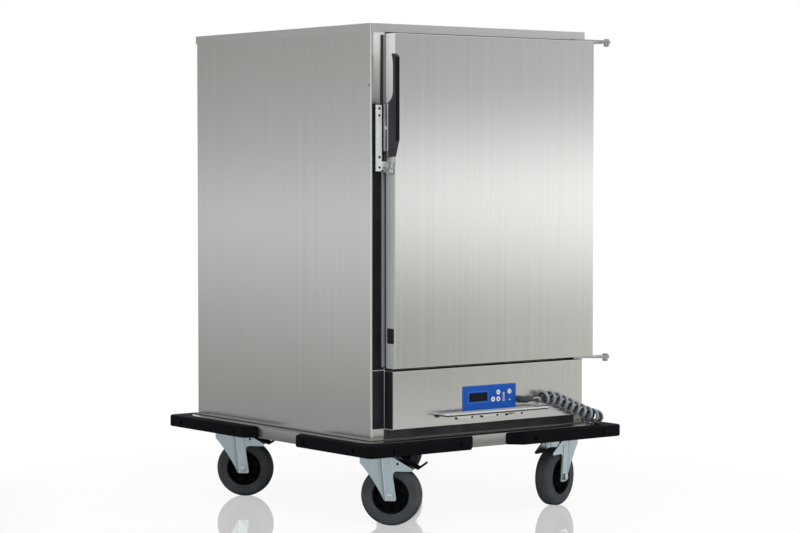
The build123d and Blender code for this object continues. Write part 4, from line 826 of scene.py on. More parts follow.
def arc_corners(corners, radii, steps=7):
    """A closed outline whose corners are arcs: each arc touches both sides of its corner."""
    before = unit(np.roll(corners, 1, 0) - corners)
    after = unit(np.roll(corners, -1, 0) - corners)
    middle = unit(before + after)
    half = np.arccos(np.sum(before * middle, 1))
    centre = corners + middle * (radii / np.sin(half))[:, None]
    reach = (radii / np.tan(half))[:, None]
    start = (corners + before * reach - centre)[:, None]
    end = (corners + after * reach - centre)[:, None]
    along = np.linspace(0.0, 1.0, steps)[:, None]
    arc = centre[:, None] + unit(start * (1 - along) + end * along) * radii[:, None, None]
    return arc.reshape(-1, 2)


def ledge_surface(low, high, inner_low, inner_high, fold, corner_radius, steps=12):
    """A ring about the cabinet: outlines go up the outer face, over the fold, inwards and down inside."""
    bottom, top = low[2], high[2]
    face = ((0.0, bottom), (0.0, top - fold), (fold * 0.3, top - fold * 0.3), (fold, top))
    rows = [(low, high, inset, corner_radius - inset, height) for inset, height in face]
    rows += [(inner_low, inner_high, 0.0, 1 * MM, height) for height in (top, bottom)]
    grid = np.empty((len(rows), 4 * steps, 3))
    for row, (corner, opposite, inset, radius, height) in zip(grid, rows):
        half = (opposite - corner)[:2] / 2 - inset
        row[:, :2] = rounded_outline(*half, radius, steps) + (opposite + corner)[:2] / 2
        row[:, 2] = height
    return grid


def bumper_surface(outer, ledge, ends, low, high, size):
    """An L in plan, outside the ledge's corner: a round outer corner, slanting ends with round tips, and
    inner sides along the ledge. Its rings follow quarter circles at the lower and the upper edge."""
    way = np.sign(outer - ledge)
    depth = np.abs(outer - ledge)
    tip = (ends - ledge) * way
    inner_round = 1 * MM
    angle = np.linspace(0.0, np.pi / 2, 5)
    inset = size.edge * (1 - np.sin(angle))
    rise = size.edge * (1 - np.cos(angle))
    rows = []
    for e in np.concatenate([inset, inset[::-1]]):
        drawn = e * math.hypot(1.0, size.slant)
        inner_end = tip - size.slant * depth[::-1] + drawn
        outer_end = tip - size.slant * e + drawn
        corners = np.array([(inner_end[0], 0.0), (outer_end[0], depth[1] - e), depth - e,
                            (depth[0] - e, outer_end[1]), (0.0, inner_end[1]), (0.0, 0.0)])
        radii = np.array([inner_round, size.tip - e, size.corner - e, size.tip - e,
                          inner_round, size.deck_corner])
        rows.append(arc_corners(corners, radii))
    grid = np.empty((len(rows), len(rows[0]), 3))
    grid[..., :2] = ledge + np.stack(rows) * way
    grid[..., 2] = np.concatenate([low + rise, high - rise[::-1]])[:, None]
    return grid


def polygon_radius(corners, corner_radius, angle):
    """Distance from the middle to the side of a regular polygon, at each angle."""
    half = np.pi / corners
    return corner_radius * np.cos(half) / np.cos((angle + half) % (2 * half) - half)


def cross_radius(arm, half_width, angle):
    """Distance from the middle to the edge of a cross with four arms, at each angle."""
    fold = np.abs((angle + np.pi / 4) % (np.pi / 2) - np.pi / 4)
    return np.minimum(arm / np.cos(fold), half_width / np.maximum(np.sin(fold), 1e-6))


# Cord

ROUTE_MM = (
    (126.3, -427.55, 290.0), (150.3, -427.55, 292.5), (188.3, -427.55, 292.0), (230.3, -427.55, 277.0),
    (272.3, -427.55, 258.0), (313.0, -427.55, 242.55), (345.0, -425.55, 231.55), (363.0, -409.55, 228.55),
    (367.0, -373.55, 228.55), (368.0, -315.55, 228.55), (367.0, -237.425, 228.55), (366.0, -201.3, 228.55),
    (367.0, -167.3, 228.55),
)


def read_route(points):
    """Points along the smooth spline that has the given control points."""
    curve = bpy.data.curves.new("cord_route", "CURVE")
    curve.dimensions = "3D"
    curve.resolution_u = 40
    spline = curve.splines.new("NURBS")
    spline.points.add(len(points) - 1)
    spline.points.foreach_set("co", np.column_stack([points, np.ones(len(points))]).ravel())
    spline.order_u = 3
    spline.use_endpoint_u = True
    holder = bpy.data.objects.new("cord_route", curve)
    mesh = bpy.data.meshes.new_from_object(holder)
    line = np.empty(len(mesh.vertices) * 3)
    mesh.vertices.foreach_get("co", line)
    bpy.data.objects.remove(holder)
    bpy.data.curves.remove(curve)
    bpy.data.meshes.remove(mesh)
    return line.reshape(-1, 3)


def wind(line, size, steps=40):
    """The wound cord's middle and its outward directions: the route, pushed out by the coil's radius in a
    direction that turns evenly along it. The radius swells smoothly over the first and the last turn."""
    run = np.concatenate([[0.0], np.cumsum(np.linalg.norm(np.diff(line, axis=0), axis=1))])
    wound = np.linspace(0.0, size.curls, size.curls * steps + 1)
    pitch = (run[-1] - 2 * size.lead) / size.curls
    along = np.concatenate([[0.0], size.lead + pitch * wound, [run[-1]]])
    wound = np.concatenate([[0.0], wound, [size.curls]])
    middle = np.stack([np.interp(along, run, line[:, k]) for k in range(3)], -1)
    tangent = unit(np.stack([np.interp(along, run, np.gradient(line[:, k], run)) for k in range(3)], -1))
    normal = unit(UP - tangent * tangent[:, 2:])
    angle = 2 * np.pi * wound[:, None]
    out = normal * np.cos(angle) + np.cross(tangent, normal) * np.sin(angle)
    radius = size.coil * smooth(np.minimum(wound, size.curls - wound))
    return middle + out * radius[:, None], out


def tube(middle, out, radius, sides=14):
    """A circle carried along a line, turned so that it starts from the outward direction."""
    tangent = unit(np.gradient(middle, axis=0))
    first = unit(out - tangent * np.sum(out * tangent, -1, keepdims=True))
    second = np.cross(tangent, first)
    angle = np.linspace(0.0, 2 * np.pi, sides, endpoint=False)[:, None]
    return middle[:, None] + radius * (np.cos(angle) * first[:, None] + np.sin(angle) * second[:, None])


# Casters

def tyre_surface(size, centre, axis):
    """A closed profile turned about the axle: flat sides with two low moulded rings, quarter-round shoulders,
    a flat tread and a plain bore."""
    half = size.half_width
    bead = 0.6 * MM
    bead_chamfer = 1.6 * MM
    side_relief = 0.9 * MM
    ring_height = 0.7 * MM
    side = np.linspace(size.rim_radius + bead, size.radius - size.shoulder, 22)
    along = (side - side[0]) / (side[-1] - side[0])
    rings = np.exp(-((along - 0.22) / 0.07) ** 2) + np.exp(-((along - 0.86) / 0.06) ** 2)
    face = half - side_relief + ring_height * rings
    angle = np.linspace(0.0, np.pi / 2, 10)[1:]
    shoulder_radius = size.radius - size.shoulder + size.shoulder * np.sin(angle)
    shoulder_half = half - size.shoulder + size.shoulder * np.cos(angle)
    radii = np.concatenate([[size.rim_radius], side, shoulder_radius])
    halves = np.concatenate([[half - bead_chamfer], face, shoulder_half])
    radii = np.concatenate([radii, radii[::-1]])[:, None]
    heights = np.concatenate([halves, -halves[::-1]])[:, None]
    return turned(np.repeat(radii, 96, 1), heights, centre, axis)


def hub_surface(size, centre, axis):
    """A height over radius and angle, on both sides of the wheel: bore, boss, dished web and rim, with ribs
    that fall from the boss to the rim. Boss and rim rise from the web over a flank."""
    web = 6 * MM
    rim = size.half_width - 3 * MM
    chamfer = 0.8 * MM
    flank = 2.4 * MM
    rib_half = 2.4 * MM
    rib_by_boss = 12.5 * MM
    rib_drop = 3.5 * MM
    boss_foot = size.boss_radius + flank / 2
    rim_foot = size.rim_radius - 6.2 * MM
    count = 16 * size.ribs
    radius = np.concatenate([
        [size.bore, size.bore + chamfer], np.linspace(boss_foot - flank, boss_foot, 5),
        np.linspace(boss_foot + 1.8 * MM, rim_foot - 1.3 * MM, 12),
        np.linspace(rim_foot, rim_foot + flank, 5),
        [size.rim_radius - chamfer, size.rim_radius]])
    angle = np.linspace(0.0, 2 * np.pi, count, endpoint=False)
    boss = smooth((boss_foot - radius) / flank)
    edge = smooth((radius - rim_foot) / flank)
    plain = web + (size.boss_half - web) * boss + (rim - web) * edge
    plain[[0, -1]] -= chamfer
    near = np.abs((angle * size.ribs / (2 * np.pi) + 0.5) % 1.0 - 0.5) * 2 * np.pi / size.ribs
    width = radius[:, None] * near
    outward = (radius - size.boss_radius) / (rim_foot + flank / 2 - size.boss_radius)
    crest = (rib_by_boss - rib_drop * np.clip(outward, 0.0, 1.0)) * smooth(outward * 40 + 0.5)
    rib = crest[:, None] * smooth((rib_half - width) / (rib_half / 2))
    height = np.maximum(plain[:, None], web + rib)
    radii = np.concatenate([radius, radius[::-1]])[:, None]
    heights = np.concatenate([height, -height[::-1]])
    return turned(np.repeat(radii, count, 1), heights, centre, axis)


# Fasteners

RING = np.linspace(0.0, 2 * np.pi, 36, endpoint=False)
RIVET = ((0.02, 0.35), (0.24, 0.4), (0.3, 0.95), (0.5, 1.0), (0.75, 0.86), (0.92, 0.55),
         (1.0, 0.15), (1.0, 0.0))
AXLE_CAP = ((0.02, 0.15), (0.26, 0.2), (0.34, 0.95), (0.42, 1.0), (0.62, 1.0), (0.68, 0.75), (0.86, 0.7),
            (0.97, 0.5), (1.0, 0.2), (1.0, 0.0))


def head(rows, centre, axis):
    """A turned head, as pairs of a ring's radius, which may change round the ring, and its height."""
    radii = np.stack([np.broadcast_to(radius, RING.shape) for radius, _ in rows])
    heights = np.array([[height] for _, height in rows])
    return turned(radii, heights, centre, axis)


def socket_screw(radius, tall, centre, axis):
    """Rounded head with a six-sided socket: rings from the socket's floor over the crown to the seat."""
    socket = polygon_radius(6, radius * 0.52, RING)
    return head([
        (socket * 0.02, tall * 0.35), (socket * 0.96, tall * 0.35), (socket, tall * 0.97),
        (socket * 1.06, tall), (radius * 0.72, tall), (radius * 0.88, tall * 0.92),
        (radius * 0.97, tall * 0.72), (radius, tall * 0.45), (radius, 0.0)], centre, axis)


def cross_screw(radius, tall, centre, axis):
    """Low domed head with a cross recess: rings from the recess's floor over the dome to the seat."""
    cross = cross_radius(radius * 0.62, radius * 0.17, RING)
    return head([
        (cross * 0.05, tall * 0.3), (cross * 0.8, tall * 0.3), (cross, tall * 0.98), (radius * 0.75, tall),
        (radius * 0.93, tall * 0.8), (radius, tall * 0.4), (radius, 0.0)], centre, axis)


def hex_bolt(corner, tall, centre, axis):
    """Six-sided head with a chamfered top."""
    hexagon = polygon_radius(6, corner, RING)
    flat = corner * math.cos(math.pi / 6)
    chamfer = np.minimum(hexagon, flat * 1.04)
    return head([(chamfer * 0.02, tall), (flat * 0.96, tall), (chamfer, tall * 0.9), (hexagon, tall * 0.72),
                 (hexagon, 0.0)], centre, axis)


def profiled_head(profile, radius, tall, centre, axis):
    """A round head from a profile in shares of its radius and its height. The rivet's is a low dome with the
    drawn mandrel's hole, and the axle cap's has a centre hole, a raised ring and a rounded rim."""
    return head([(out * radius, up * tall) for out, up in profile], centre, axis)


# Stage

def stage_object(name, grid, material, **kinds):
    """A stage surface from a grid of points, with which rays see it."""
    index = np.arange(grid.shape[0] * grid.shape[1]).reshape(grid.shape[:2])
    mesh = bpy.data.meshes.new(name)
    mesh.from_pydata(grid.reshape(-1, 3).tolist(), [], quads(index))
    mesh.materials.append(material)
    made = bpy.data.objects.new(name, mesh)
    bpy.context.scene.collection.objects.link(made)
    for kind, seen in kinds.items():
        setattr(made, kind, seen)
    return made


# Ways in plan: to the brightest floor, to what the door and the left wall mirror, and across each of those
FLOOR_WAY = (0.62, -0.78)
DOOR_WAY = (0.548, -0.837)
DOOR_ACROSS = (0.837, 0.548)
WALL_WAY = (-0.669, 0.743)
WALL_ACROSS = (0.743, 0.669)


def along_way(x, y, way):
    """How far a point in plan lies along a way."""
    return x * way[0] + y * way[1]


def floor_material(look):
    """White floor: under the trolley partly a mirror, partly lit by the lamps so that it keeps a shadow, and
    plain white further out. What it gives back to the trolley grows towards the front."""
    p = paint("white_floor")
    x, y, _ = p.axes()
    near = p.fall((x * x + y * y) ** 0.5, look.floor_near, look.floor_far)
    haze = p.noise(3.0)
    to_front = p.span(along_way(x, y, FLOOR_WAY), -0.6, 1.4)
    dim = p.mix(to_front, grey(look.bounce), grey(look.bounce_front))
    lit = p.node("ShaderNodeBsdfDiffuse", None, {"Color": grey(0.94)}, "BSDF")
    white = p.node("ShaderNodeEmission", None, {"Color": grey(1.0), "Strength": 1.0}, "Emission")
    rough = 0.03 + haze * 0.02
    mirror = p.node("ShaderNodeBsdfGlossy", None, {"Color": grey(1.0), "Roughness": rough}, "BSDF")
    given = p.node("ShaderNodeBsdfDiffuse", None, {"Color": dim}, "BSDF")
    camera = p.node("ShaderNodeLightPath", output="Is Camera Ray")
    shaded = near * (look.shade / (1 - look.mirror))
    plain = p.node("ShaderNodeMixShader", None, {0: shaded, 1: white, 2: lit})
    seen = p.node("ShaderNodeMixShader", None, {0: near * look.mirror, 1: plain, 2: mirror})
    return p.cover(p.node("ShaderNodeMixShader", None, {0: camera, 1: given, 2: seen}))


# Bands of the cove as shares of their height, where the door mirrors it and where the left wall does
DOOR_BANDS = (
    (0.094, (0.36, 0.357, 0.332)), (0.2, (0.412, 0.411, 0.388)), (0.269, (0.533, 0.533, 0.518)),
    (0.344, grey(0.72)), (0.4125, grey(0.907)), (0.4875, grey(0.98)), (0.5625, grey(0.825)),
    (0.706, grey(0.467)), (0.8375, grey(0.44)),
)
WALL_BANDS = (
    (0.0, (0.30, 0.291, 0.275)), (0.1725, grey(0.388)), (0.4256, (0.564, 0.576, 0.591)),
    (0.607, (0.409, 0.411, 0.411)), (0.8225, (0.313, 0.313, 0.305)), (1.0, grey(0.339)),
)


def cove_material(look):
    """White wall with two zones of soft bands by height: one that the door mirrors, one that the left wall
    mirrors. Each zone's level changes evenly across it. The door's also changes by height, to the right and
    to the left."""
    p = paint("reflected_cove")
    x, y, z = p.axes()
    height = z / look.cove_bands
    x = x / look.cove_radius
    y = y / look.cove_radius
    to_front = p.span(along_way(x, y, DOOR_WAY), 0.55, 0.8)
    to_back = p.span(along_way(x, y, WALL_WAY), 0.55, 0.8)
    across = along_way(x, y, DOOR_ACROSS)
    right = p.span(across, -0.06, 0.13)
    glow = p.span(height, 0.42, 0.48) * p.fall(height, 0.50, 0.56, 0.06)
    dusk = p.span(height, 0.60, 0.69) * p.fall(height, 0.73, 0.82, 0.085)
    level = 0.88 + across * 0.82 + right * p.fall(height, 0.30, 0.42, 0.15)
    level = level + (1.0 - right) * (glow - dusk - p.fall(height, 0.22, 0.32, 0.05))
    level = level + right * p.fall(height, 0.12, 0.20, 0.16)
    front = p.mix(level, grey(0.0), p.ramp(height, DOOR_BANDS), held=False)
    back = p.mix(0.96 - along_way(x, y, WALL_ACROSS) * 0.7, grey(0.0), p.ramp(height, WALL_BANDS))
    colour = p.mix(to_back, p.mix(to_front, grey(1 / look.cove_light), front), back)
    light = {"Color": colour, "Strength": look.cove_light}
    return p.cover(p.node("ShaderNodeEmission", None, light, "Emission"))


class TROLLEY_OT_stage(bpy.types.Operator):
    """Camera, world, floor, lamp and the cove that the steel mirrors"""

    bl_idname = "trolley.stage"
    bl_label = "Stage"

    def execute(self, context):
        look = settings().stage
        scene = context.scene
        scene.view_settings.view_transform = "Standard"
        camera = bpy.data.cameras.new("camera")
        camera.lens = look.lens
        camera.clip_end = 200.0
        holder = bpy.data.objects.new("camera", camera)
        holder.location = look.camera_place
        holder.rotation_euler = look.camera_turn
        scene.collection.objects.link(holder)
        scene.camera = holder

        scene.world = bpy.data.worlds.new("white_room")
        sky = Paint(scene.world, "Background")
        rays = ("Is Camera Ray", "Is Glossy Ray", "Is Transmission Ray")
        seen, mirrored, through = [sky.node("ShaderNodeLightPath", output=name) for name in rays]
        direct = sky.node("ShaderNodeMath", {"operation": "ADD", "use_clamp": True},
                          {0: seen + mirrored, 1: through})
        sky.feed(Color=grey(1.0), Strength=look.sky + direct * (1.0 - look.sky))

        lamp = bpy.data.lights.new("soft_lamp", "AREA")
        lamp.energy = look.lamp_power
        lamp.shape = "DISK"
        lamp.size = look.lamp_size
        hung = bpy.data.objects.new("soft_lamp", lamp)
        hung.location = look.lamp_place
        hung.rotation_euler = look.lamp_turn
        hung.visible_glossy = False
        scene.collection.objects.link(hung)

        side = np.linspace(-look.floor_half, look.floor_half, 19)
        u, v = np.meshgrid(side, side, indexing="ij")
        stage_object("floor", np.stack([u, v, 0 * u], -1), floor_material(look))
        angle, rise = np.meshgrid(np.linspace(0.0, 2 * np.pi, 97), np.linspace(4 * MM, look.cove_height, 14),
                                  indexing="ij")
        cove = np.stack([look.cove_radius * np.cos(angle), look.cove_radius * np.sin(angle), rise], -1)
        stage_object("cove", cove, cove_material(look), visible_camera=False, visible_diffuse=False,
                     visible_shadow=False, visible_transmission=False, visible_volume_scatter=False)
        return {"FINISHED"}


# Pieces

def dress(material, *nodes):
    """Gives CAD nodes a material."""
    for node in nodes:
        for holder in frame["nodes"][node].material_slots:
            holder.material = material


class TROLLEY_OT_cord(bpy.types.Operator):
    """Curly mains cord and its plug"""

    bl_idname = "trolley.cord"
    bl_label = "Curly cord"

    def execute(self, context):
        size = settings().cord
        jacket = cord_jacket(settings().finish.cord)
        middle, out = wind(read_route(np.array(ROUTE_MM) * MM), size)
        grid = tube(middle, out, size.diameter / 2)
        made = Shell().add(grid).piece("mains_cord", jacket, "cabinet", "cord_grey", ("curly_cord",))
        round_angle = np.linspace(0.0, 2 * np.pi, grid.shape[1], endpoint=False)
        # Where the jacket gets painted shade: 0 on the outside of the curls, 1 inside.
        inside = np.tile((1 - np.cos(round_angle)) / 2, len(grid))
        made.data.attributes.new("inside", "FLOAT", "POINT").data.foreach_set("value", inside)
        reach = np.linalg.norm(np.diff(middle, axis=0), axis=1).sum()
        tuple(middle[0])
        dress(jacket, "cord_plug")
        return {"FINISHED"}


class TROLLEY_OT_cabinet(bpy.types.Operator):
    """Sheet of the cabinet, black strips and a cover end cap as painted shade, beads and rivet"""

    bl_idname = "trolley.cabinet"
    bl_label = "Cabinet"

    def execute(self, context):
        tone = settings().finish
        size = settings().parts
        rail_low, rail_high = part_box("guard_rail")
        rim_low, rim_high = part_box("front_frame")
        keeper_low, keeper_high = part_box("keeper_plate")
        cover_low, cover_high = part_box("control_cover")
        door_low, door_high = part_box("door_skin")
        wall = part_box("left_wall")[0]
        plinth_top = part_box("plinth_strip")[1].z

        dress(brushed_steel(tone.steel),
              "left_wall", "right_wall", "rear_wall", "control_cover", "plug_holder")
        dress(brushed_steel(tone.steel, "cap_steel", CAP_GRAIN, 0.0), "top_cap")
        # Painted light on the rim: painted shade below the keeper's top, a painted highlight at the rim's
        # top.
        dress(brushed_steel(tone.steel, "rim_steel", painted_light_heights=(keeper_high.z, rim_high.z)), "front_frame")
        # The base frame's steel, darkened to a third, is painted shade for the dark line at the foot of the
        # walls.
        dress(brushed_steel(scaled(tone.steel, 0.3), "sealed_lip"), "base_frame")
        dress(moulded_black(tone.gland, "gland_grey", 0.5, 0.2), "cord_gland")
        dress(moulded_black(tone.plinth, "plinth_plastic", 0.6, 0.12), "plinth_strip")
        dress(seal_rubber(tone.gasket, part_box("door_gasket")[0].x), "door_gasket")
        # The rail's underside gets painted shade.
        dress(polished_bar(tone.bar, "rail_bar", (rail_low.z + rail_high.z) / 2), "guard_rail")

        seat = rim_low.y
        left = wall.x + size.wall_fold
        right = keeper_high.x
        seam = cover_high.z + 2 * MM
        # Black strips of painted shade: the rim's dark reflection below and beside the keeper, the gap under
        # the top cap and the gap above the control cover.
        strip = add_raised(Shell(), seat, size.trim_thickness, (
            (left, right, seam + 0.8 * MM, keeper_low.z - 1 * MM),
            (left, keeper_low.x - 0.4 * MM, keeper_low.z - 1 * MM, keeper_high.z + 2 * MM),
            (door_low.x + 1 * MM, door_high.x - 4 * MM, door_high.z - 2 * MM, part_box("top_cap")[0].z),
            (right + 4 * MM, cover_high.x, cover_high.z + 0.3 * MM, door_low.z + 2 * MM)))
        black = moulded_black(scaled(tone.shade_trim, 0.5), "breaker_strip", 0.4, 0.15)
        strip.piece("breaker_strip", black, "cabinet", "black_trim")
        # A paler black strip of painted shade on the rim beside the control cover.
        foot = add_raised(Shell(), seat, size.trim_thickness, (
            (left, right, plinth_top + 2 * MM, seam - 2 * MM),))
        pale = moulded_black(scaled(tone.shade_trim, 1.3), "breaker_foot", 0.5, 0.15)
        foot.piece("breaker_foot", pale, "cabinet", "black_trim")
        beads = add_raised(Shell(), seat, 2 * MM, ((left, right, seam - 2 * MM, seam),), 0.6 * MM)
        add_raised(beads, seat, 3 * MM, ((right + 0.4 * MM, right + 2.6 * MM, plinth_top, seam),))
        beads.piece("rim_beads", satin_steel(scaled(tone.steel, 1.1), "bead_steel"), "cabinet", "stainless")

        centre = (wall.x, wall.y + 6.5 * MM, wall.z + size.rivet_height)
        rivet = profiled_head(RIVET, size.rivet, size.rivet_tall, centre, TO_LEFT)
        Shell().add(rivet).piece("wall_rivet", satin_steel(tone.rivet, "rivet_steel"), "cabinet", "stainless")

        # The black cap on the control cover's left end is painted shade on that side.
        end = slab((cover_low.x - size.trim_thickness, cover_low.y + 2 * MM, cover_low.z + 2 * MM),
                   (cover_low.x, cover_high.y, cover_high.z - 2 * MM), 0, radius=1.5 * MM)
        shade_trim = moulded_black(tone.shade_trim, "black_trim", 0.34)
        Shell().add(end).piece("cover_end_cap", shade_trim, "cabinet", "black_trim")
        return {"FINISHED"}


class TROLLEY_OT_door(bpy.types.Operator):
    """Door skin with a black patch of painted shade on its edge, inner panel, insulation and hinges"""

    bl_idname = "trolley.door"
    bl_label = "Door"

    def execute(self, context):
        tone = settings().finish
        low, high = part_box("door_skin")
        # Painted light on the door's left edge face: painted shade low down, a painted highlight near its
        # top.
        painted_light_heights = (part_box("keeper_plate")[1].z - 100 * MM, high.z - 20 * MM)
        dress(brushed_steel(tone.steel, "door_steel", edge=low.x + 0.3 * MM, painted_light_heights=painted_light_heights), "door_skin")
        dress(satin_steel(tone.liner, "door_lining"), "door_inner")
        dress(zinc_plate(tone.hinge, "hinge_zinc"), "hinge_arms", "hinge_brackets")
        dress(cut_foam(tone.foam), "door_insulation")
        # The black patch on the door's left edge is painted shade, for a hole in that edge.
        pad = slab((low.x - 1.5 * MM, low.y + 4 * MM, low.z + 61 * MM),
                   (low.x, low.y + 30 * MM, low.z + 98 * MM), 0, 0.5 * MM, 2.5 * MM)
        Shell().add(pad).piece("edge_pad", seal_rubber(tone.pad), "door", "black_trim")
        return {"FINISHED"}


# How far the keeper's screws lie above its lower end
KEEPER_SCREWS_MM = (9.0, 34.0, 135.0, 152.0)


class TROLLEY_OT_latch(bpy.types.Operator):
    """Lever, hook and plates of the latch, its guide and bar, a black strip of painted shade by the keeper,
    and its screws
    """

    bl_idname = "trolley.latch"
    bl_label = "Latch"

    def execute(self, context):
        tone = settings().finish
        size = settings().parts
        pale = zinc_plate(tone.latch, "keeper_zinc", 0.45, 0.1)
        dress(pale, "keeper_plate")
        dress(zinc_plate(scaled(tone.latch, 0.6), "latch_zinc", 0.35), "latch_plate", "latch_hook")
        dress(lever_plastic(tone.lever, tone.lever_lit_side), "latch_lever")

        low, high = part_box("keeper_plate")
        face = low.y + size.keeper_nose
        side = low.x + size.keeper_width
        # A black strip beside the keeper is painted shade in the gap between the keeper and the latch.
        buffer = slab((side, face - 1.6 * MM, low.z), (side + 5 * MM, face + 0.5 * MM, high.z))
        Shell().add(buffer).piece("keeper_buffer", seal_rubber(tone.buffer), "cabinet", "black_trim")

        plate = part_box("door_skin")[0].x - 3.6 * MM
        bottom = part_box("latch_hook")[0].z + 56 * MM
        top = high.z + 2 * MM
        guide = slab((plate - 8.5 * MM, face - 12 * MM, bottom), (plate, face - 5 * MM, top), 2, 0.5 * MM)
        dull = zinc_plate(scaled(tone.latch, 0.45), "guide_zinc", 0.38)
        Shell().add(guide).piece("latch_guide", dull, "door", "zinc")
        middle = (bottom + high.z) / 2
        bar = slab((plate - 2.6 * MM, face - 14 * MM, bottom), (plate, face - 12 * MM, top), 2)
        stud = slab((plate - 9 * MM, face - 13 * MM, middle - 4 * MM),
                    (plate - 3 * MM, face - 12 * MM, middle + 4 * MM), 1, 0.3 * MM)
        Shell().add(bar).add(stud).piece("latch_bar", pale, "door", "zinc")

        screws = Shell()
        for up in KEEPER_SCREWS_MM:
            centre = (low.x + size.keeper_width / 2, face, low.z + up * MM)
            screws.add(cross_screw(size.keeper_screw, size.keeper_tall, centre, TO_FRONT))
        screws.piece("keeper_screws", satin_steel(tone.keeper_screw, "screw_steel"), "cabinet", "zinc")
        return {"FINISHED"}


# Marks on the keys: corners and the first corner's angle in degrees
KEY_MARKS = {"up": (3, 90.0), "down": (3, 270.0), "set": (4, 45.0)}
# Rounded marks on the film: half their width and height, and their middle in X and Z
WHITE_MARKS_MM = ((2.2, 9.0, 46.0, 302.5), (3.4, 3.4, 46.0, 292.5), (3.0, 1.4, 66.0, 291.5))
RED_MARKS_MM = ((0.8, 6.0, 46.0, 302.0), (2.0, 2.0, 46.0, 292.5))
# Outline of a segment, with its length and its thickness as 1
SEGMENT = np.array([(-1, 0), (-0.72, 1), (0.72, 1), (1, 0), (0.72, -1), (-0.72, -1)]) * 0.5


def facing(node):
    """The front's Y and the middle in X and Z of a CAD node's box."""
    low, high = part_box(node)
    return low.y, np.array([(low.x + high.x) / 2, (low.z + high.z) / 2])


def directions(degrees):
    """Unit directions at angles, as rows."""
    angle = np.radians(degrees)
    return np.column_stack([np.cos(angle), np.sin(angle)])


class TROLLEY_OT_controls(bpy.types.Operator):
    """Film, display and keys with their printed marks"""

    bl_idname = "trolley.controls"
    bl_label = "Controls"

    def execute(self, context):
        tone = settings().finish
        size = settings().parts
        thin = size.print_thickness
        dress(overlay_film(tone.overlay, tone.line), "control_overlay")
        dress(display_glass(tone.glass), "display_window")
        dress(key_plastic(tone.key), "key_up", "key_down", "key_set", "key_power")
        ink = plain_print("key_ink", tone.key_ink)
        for key, (corners, start) in KEY_MARKS.items():
            front, middle = facing("key_" + key)
            outline = middle + size.key_mark * directions(start + 360.0 / corners * np.arange(corners))
            sign = Shell().add(mark(outline, front, thin))
            sign.piece("mark_" + key, ink, f"key_{key}_body", "overlay_blue")
        front, middle = facing("key_power")
        way = directions(np.linspace(125.0, 415.0, 30))
        ring = middle + np.vstack([way * 3.2 * MM, way[::-1] * 2.4 * MM])
        bar = middle + rounded_outline(0.4 * MM, 1.6 * MM, 0.3 * MM, 4) + (0.0, 2.2 * MM)
        power = Shell().add(mark(ring, front, thin)).add(mark(bar, front, thin))
        power.piece("mark_power", plain_print("power_ink", tone.power_ink), "key_power_body", "overlay_blue")

        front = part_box("control_overlay")[0].y
        for name, ink, marks, back in (
                ("film_marks", plain_print("white_ink", tone.white_ink), WHITE_MARKS_MM, front),
                ("film_drop", plain_print("red_ink", tone.red_ink), RED_MARKS_MM, front - thin)):
            shell = Shell()
            for wide, tall, x, z in np.array(marks) * MM:
                shell.add(mark(rounded_outline(wide, tall, min(wide, tall), 8) + (x, z), back, thin))
            shell.piece(name, ink, "cabinet", "overlay_blue")

        front, middle = facing("display_window")
        lying = SEGMENT * (size.segment - size.segment_gap, size.segment_width)
        standing = lying[:, ::-1]
        places = [(lying, (0.0, up)) for up in (1.0, 0.0, -1.0)]
        places += [(standing, (right, up)) for right in (0.5, -0.5) for up in (0.5, -0.5)]
        digits = Shell()
        for digit in (-1, 0, 1):
            centre = middle + (digit * size.digit_pitch, 0.0)
            for outline, shift in places:
                digits.add(mark(outline + centre + np.array(shift) * size.segment, front, thin))
        unlit = plain_print("unlit_segments", tone.segment)
        digits.piece("display_segments", unlit, "cabinet", "display_black")
        return {"FINISHED"}


# How far each bumper's ends lie from those of its plain block, along X and Y
END_SHIFT_MM = {"front_left": (-8, 6), "front_right": (-15, 0), "rear_left": (0, -11), "rear_right": (0, -11)}


def bumper_places(corner):
    """Outer corner, inner ends and outward ways of a bumper in plan, from its CAD node."""
    low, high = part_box("bumper_" + corner)
    way = np.array([-1.0 if "left" in corner else 1.0, -1.0 if "front" in corner else 1.0])
    low = np.array(low[:2])
    high = np.array(high[:2])
    ends = np.where(way < 0, high, low) + np.array(END_SHIFT_MM[corner]) * MM
    return np.where(way < 0, low, high), ends, way


def bumper_screws(corner, size):
    """Place on the bumper's face and outward way of each of its four screws."""
    outer, ends, way = bumper_places(corner)
    low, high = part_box("bumper_" + corner)
    middle = (low.z + high.z) / 2
    for axis in (0, 1):
        other = 1 - axis
        for along in (outer[axis] - way[axis] * size.screw_corner, ends[axis] + way[axis] * size.screw_end):
            face = np.array([0.0, 0.0, middle])
            face[axis] = along
            face[other] = outer[other]
            outward = np.zeros(3)
            outward[other] = way[other]
            yield face, outward


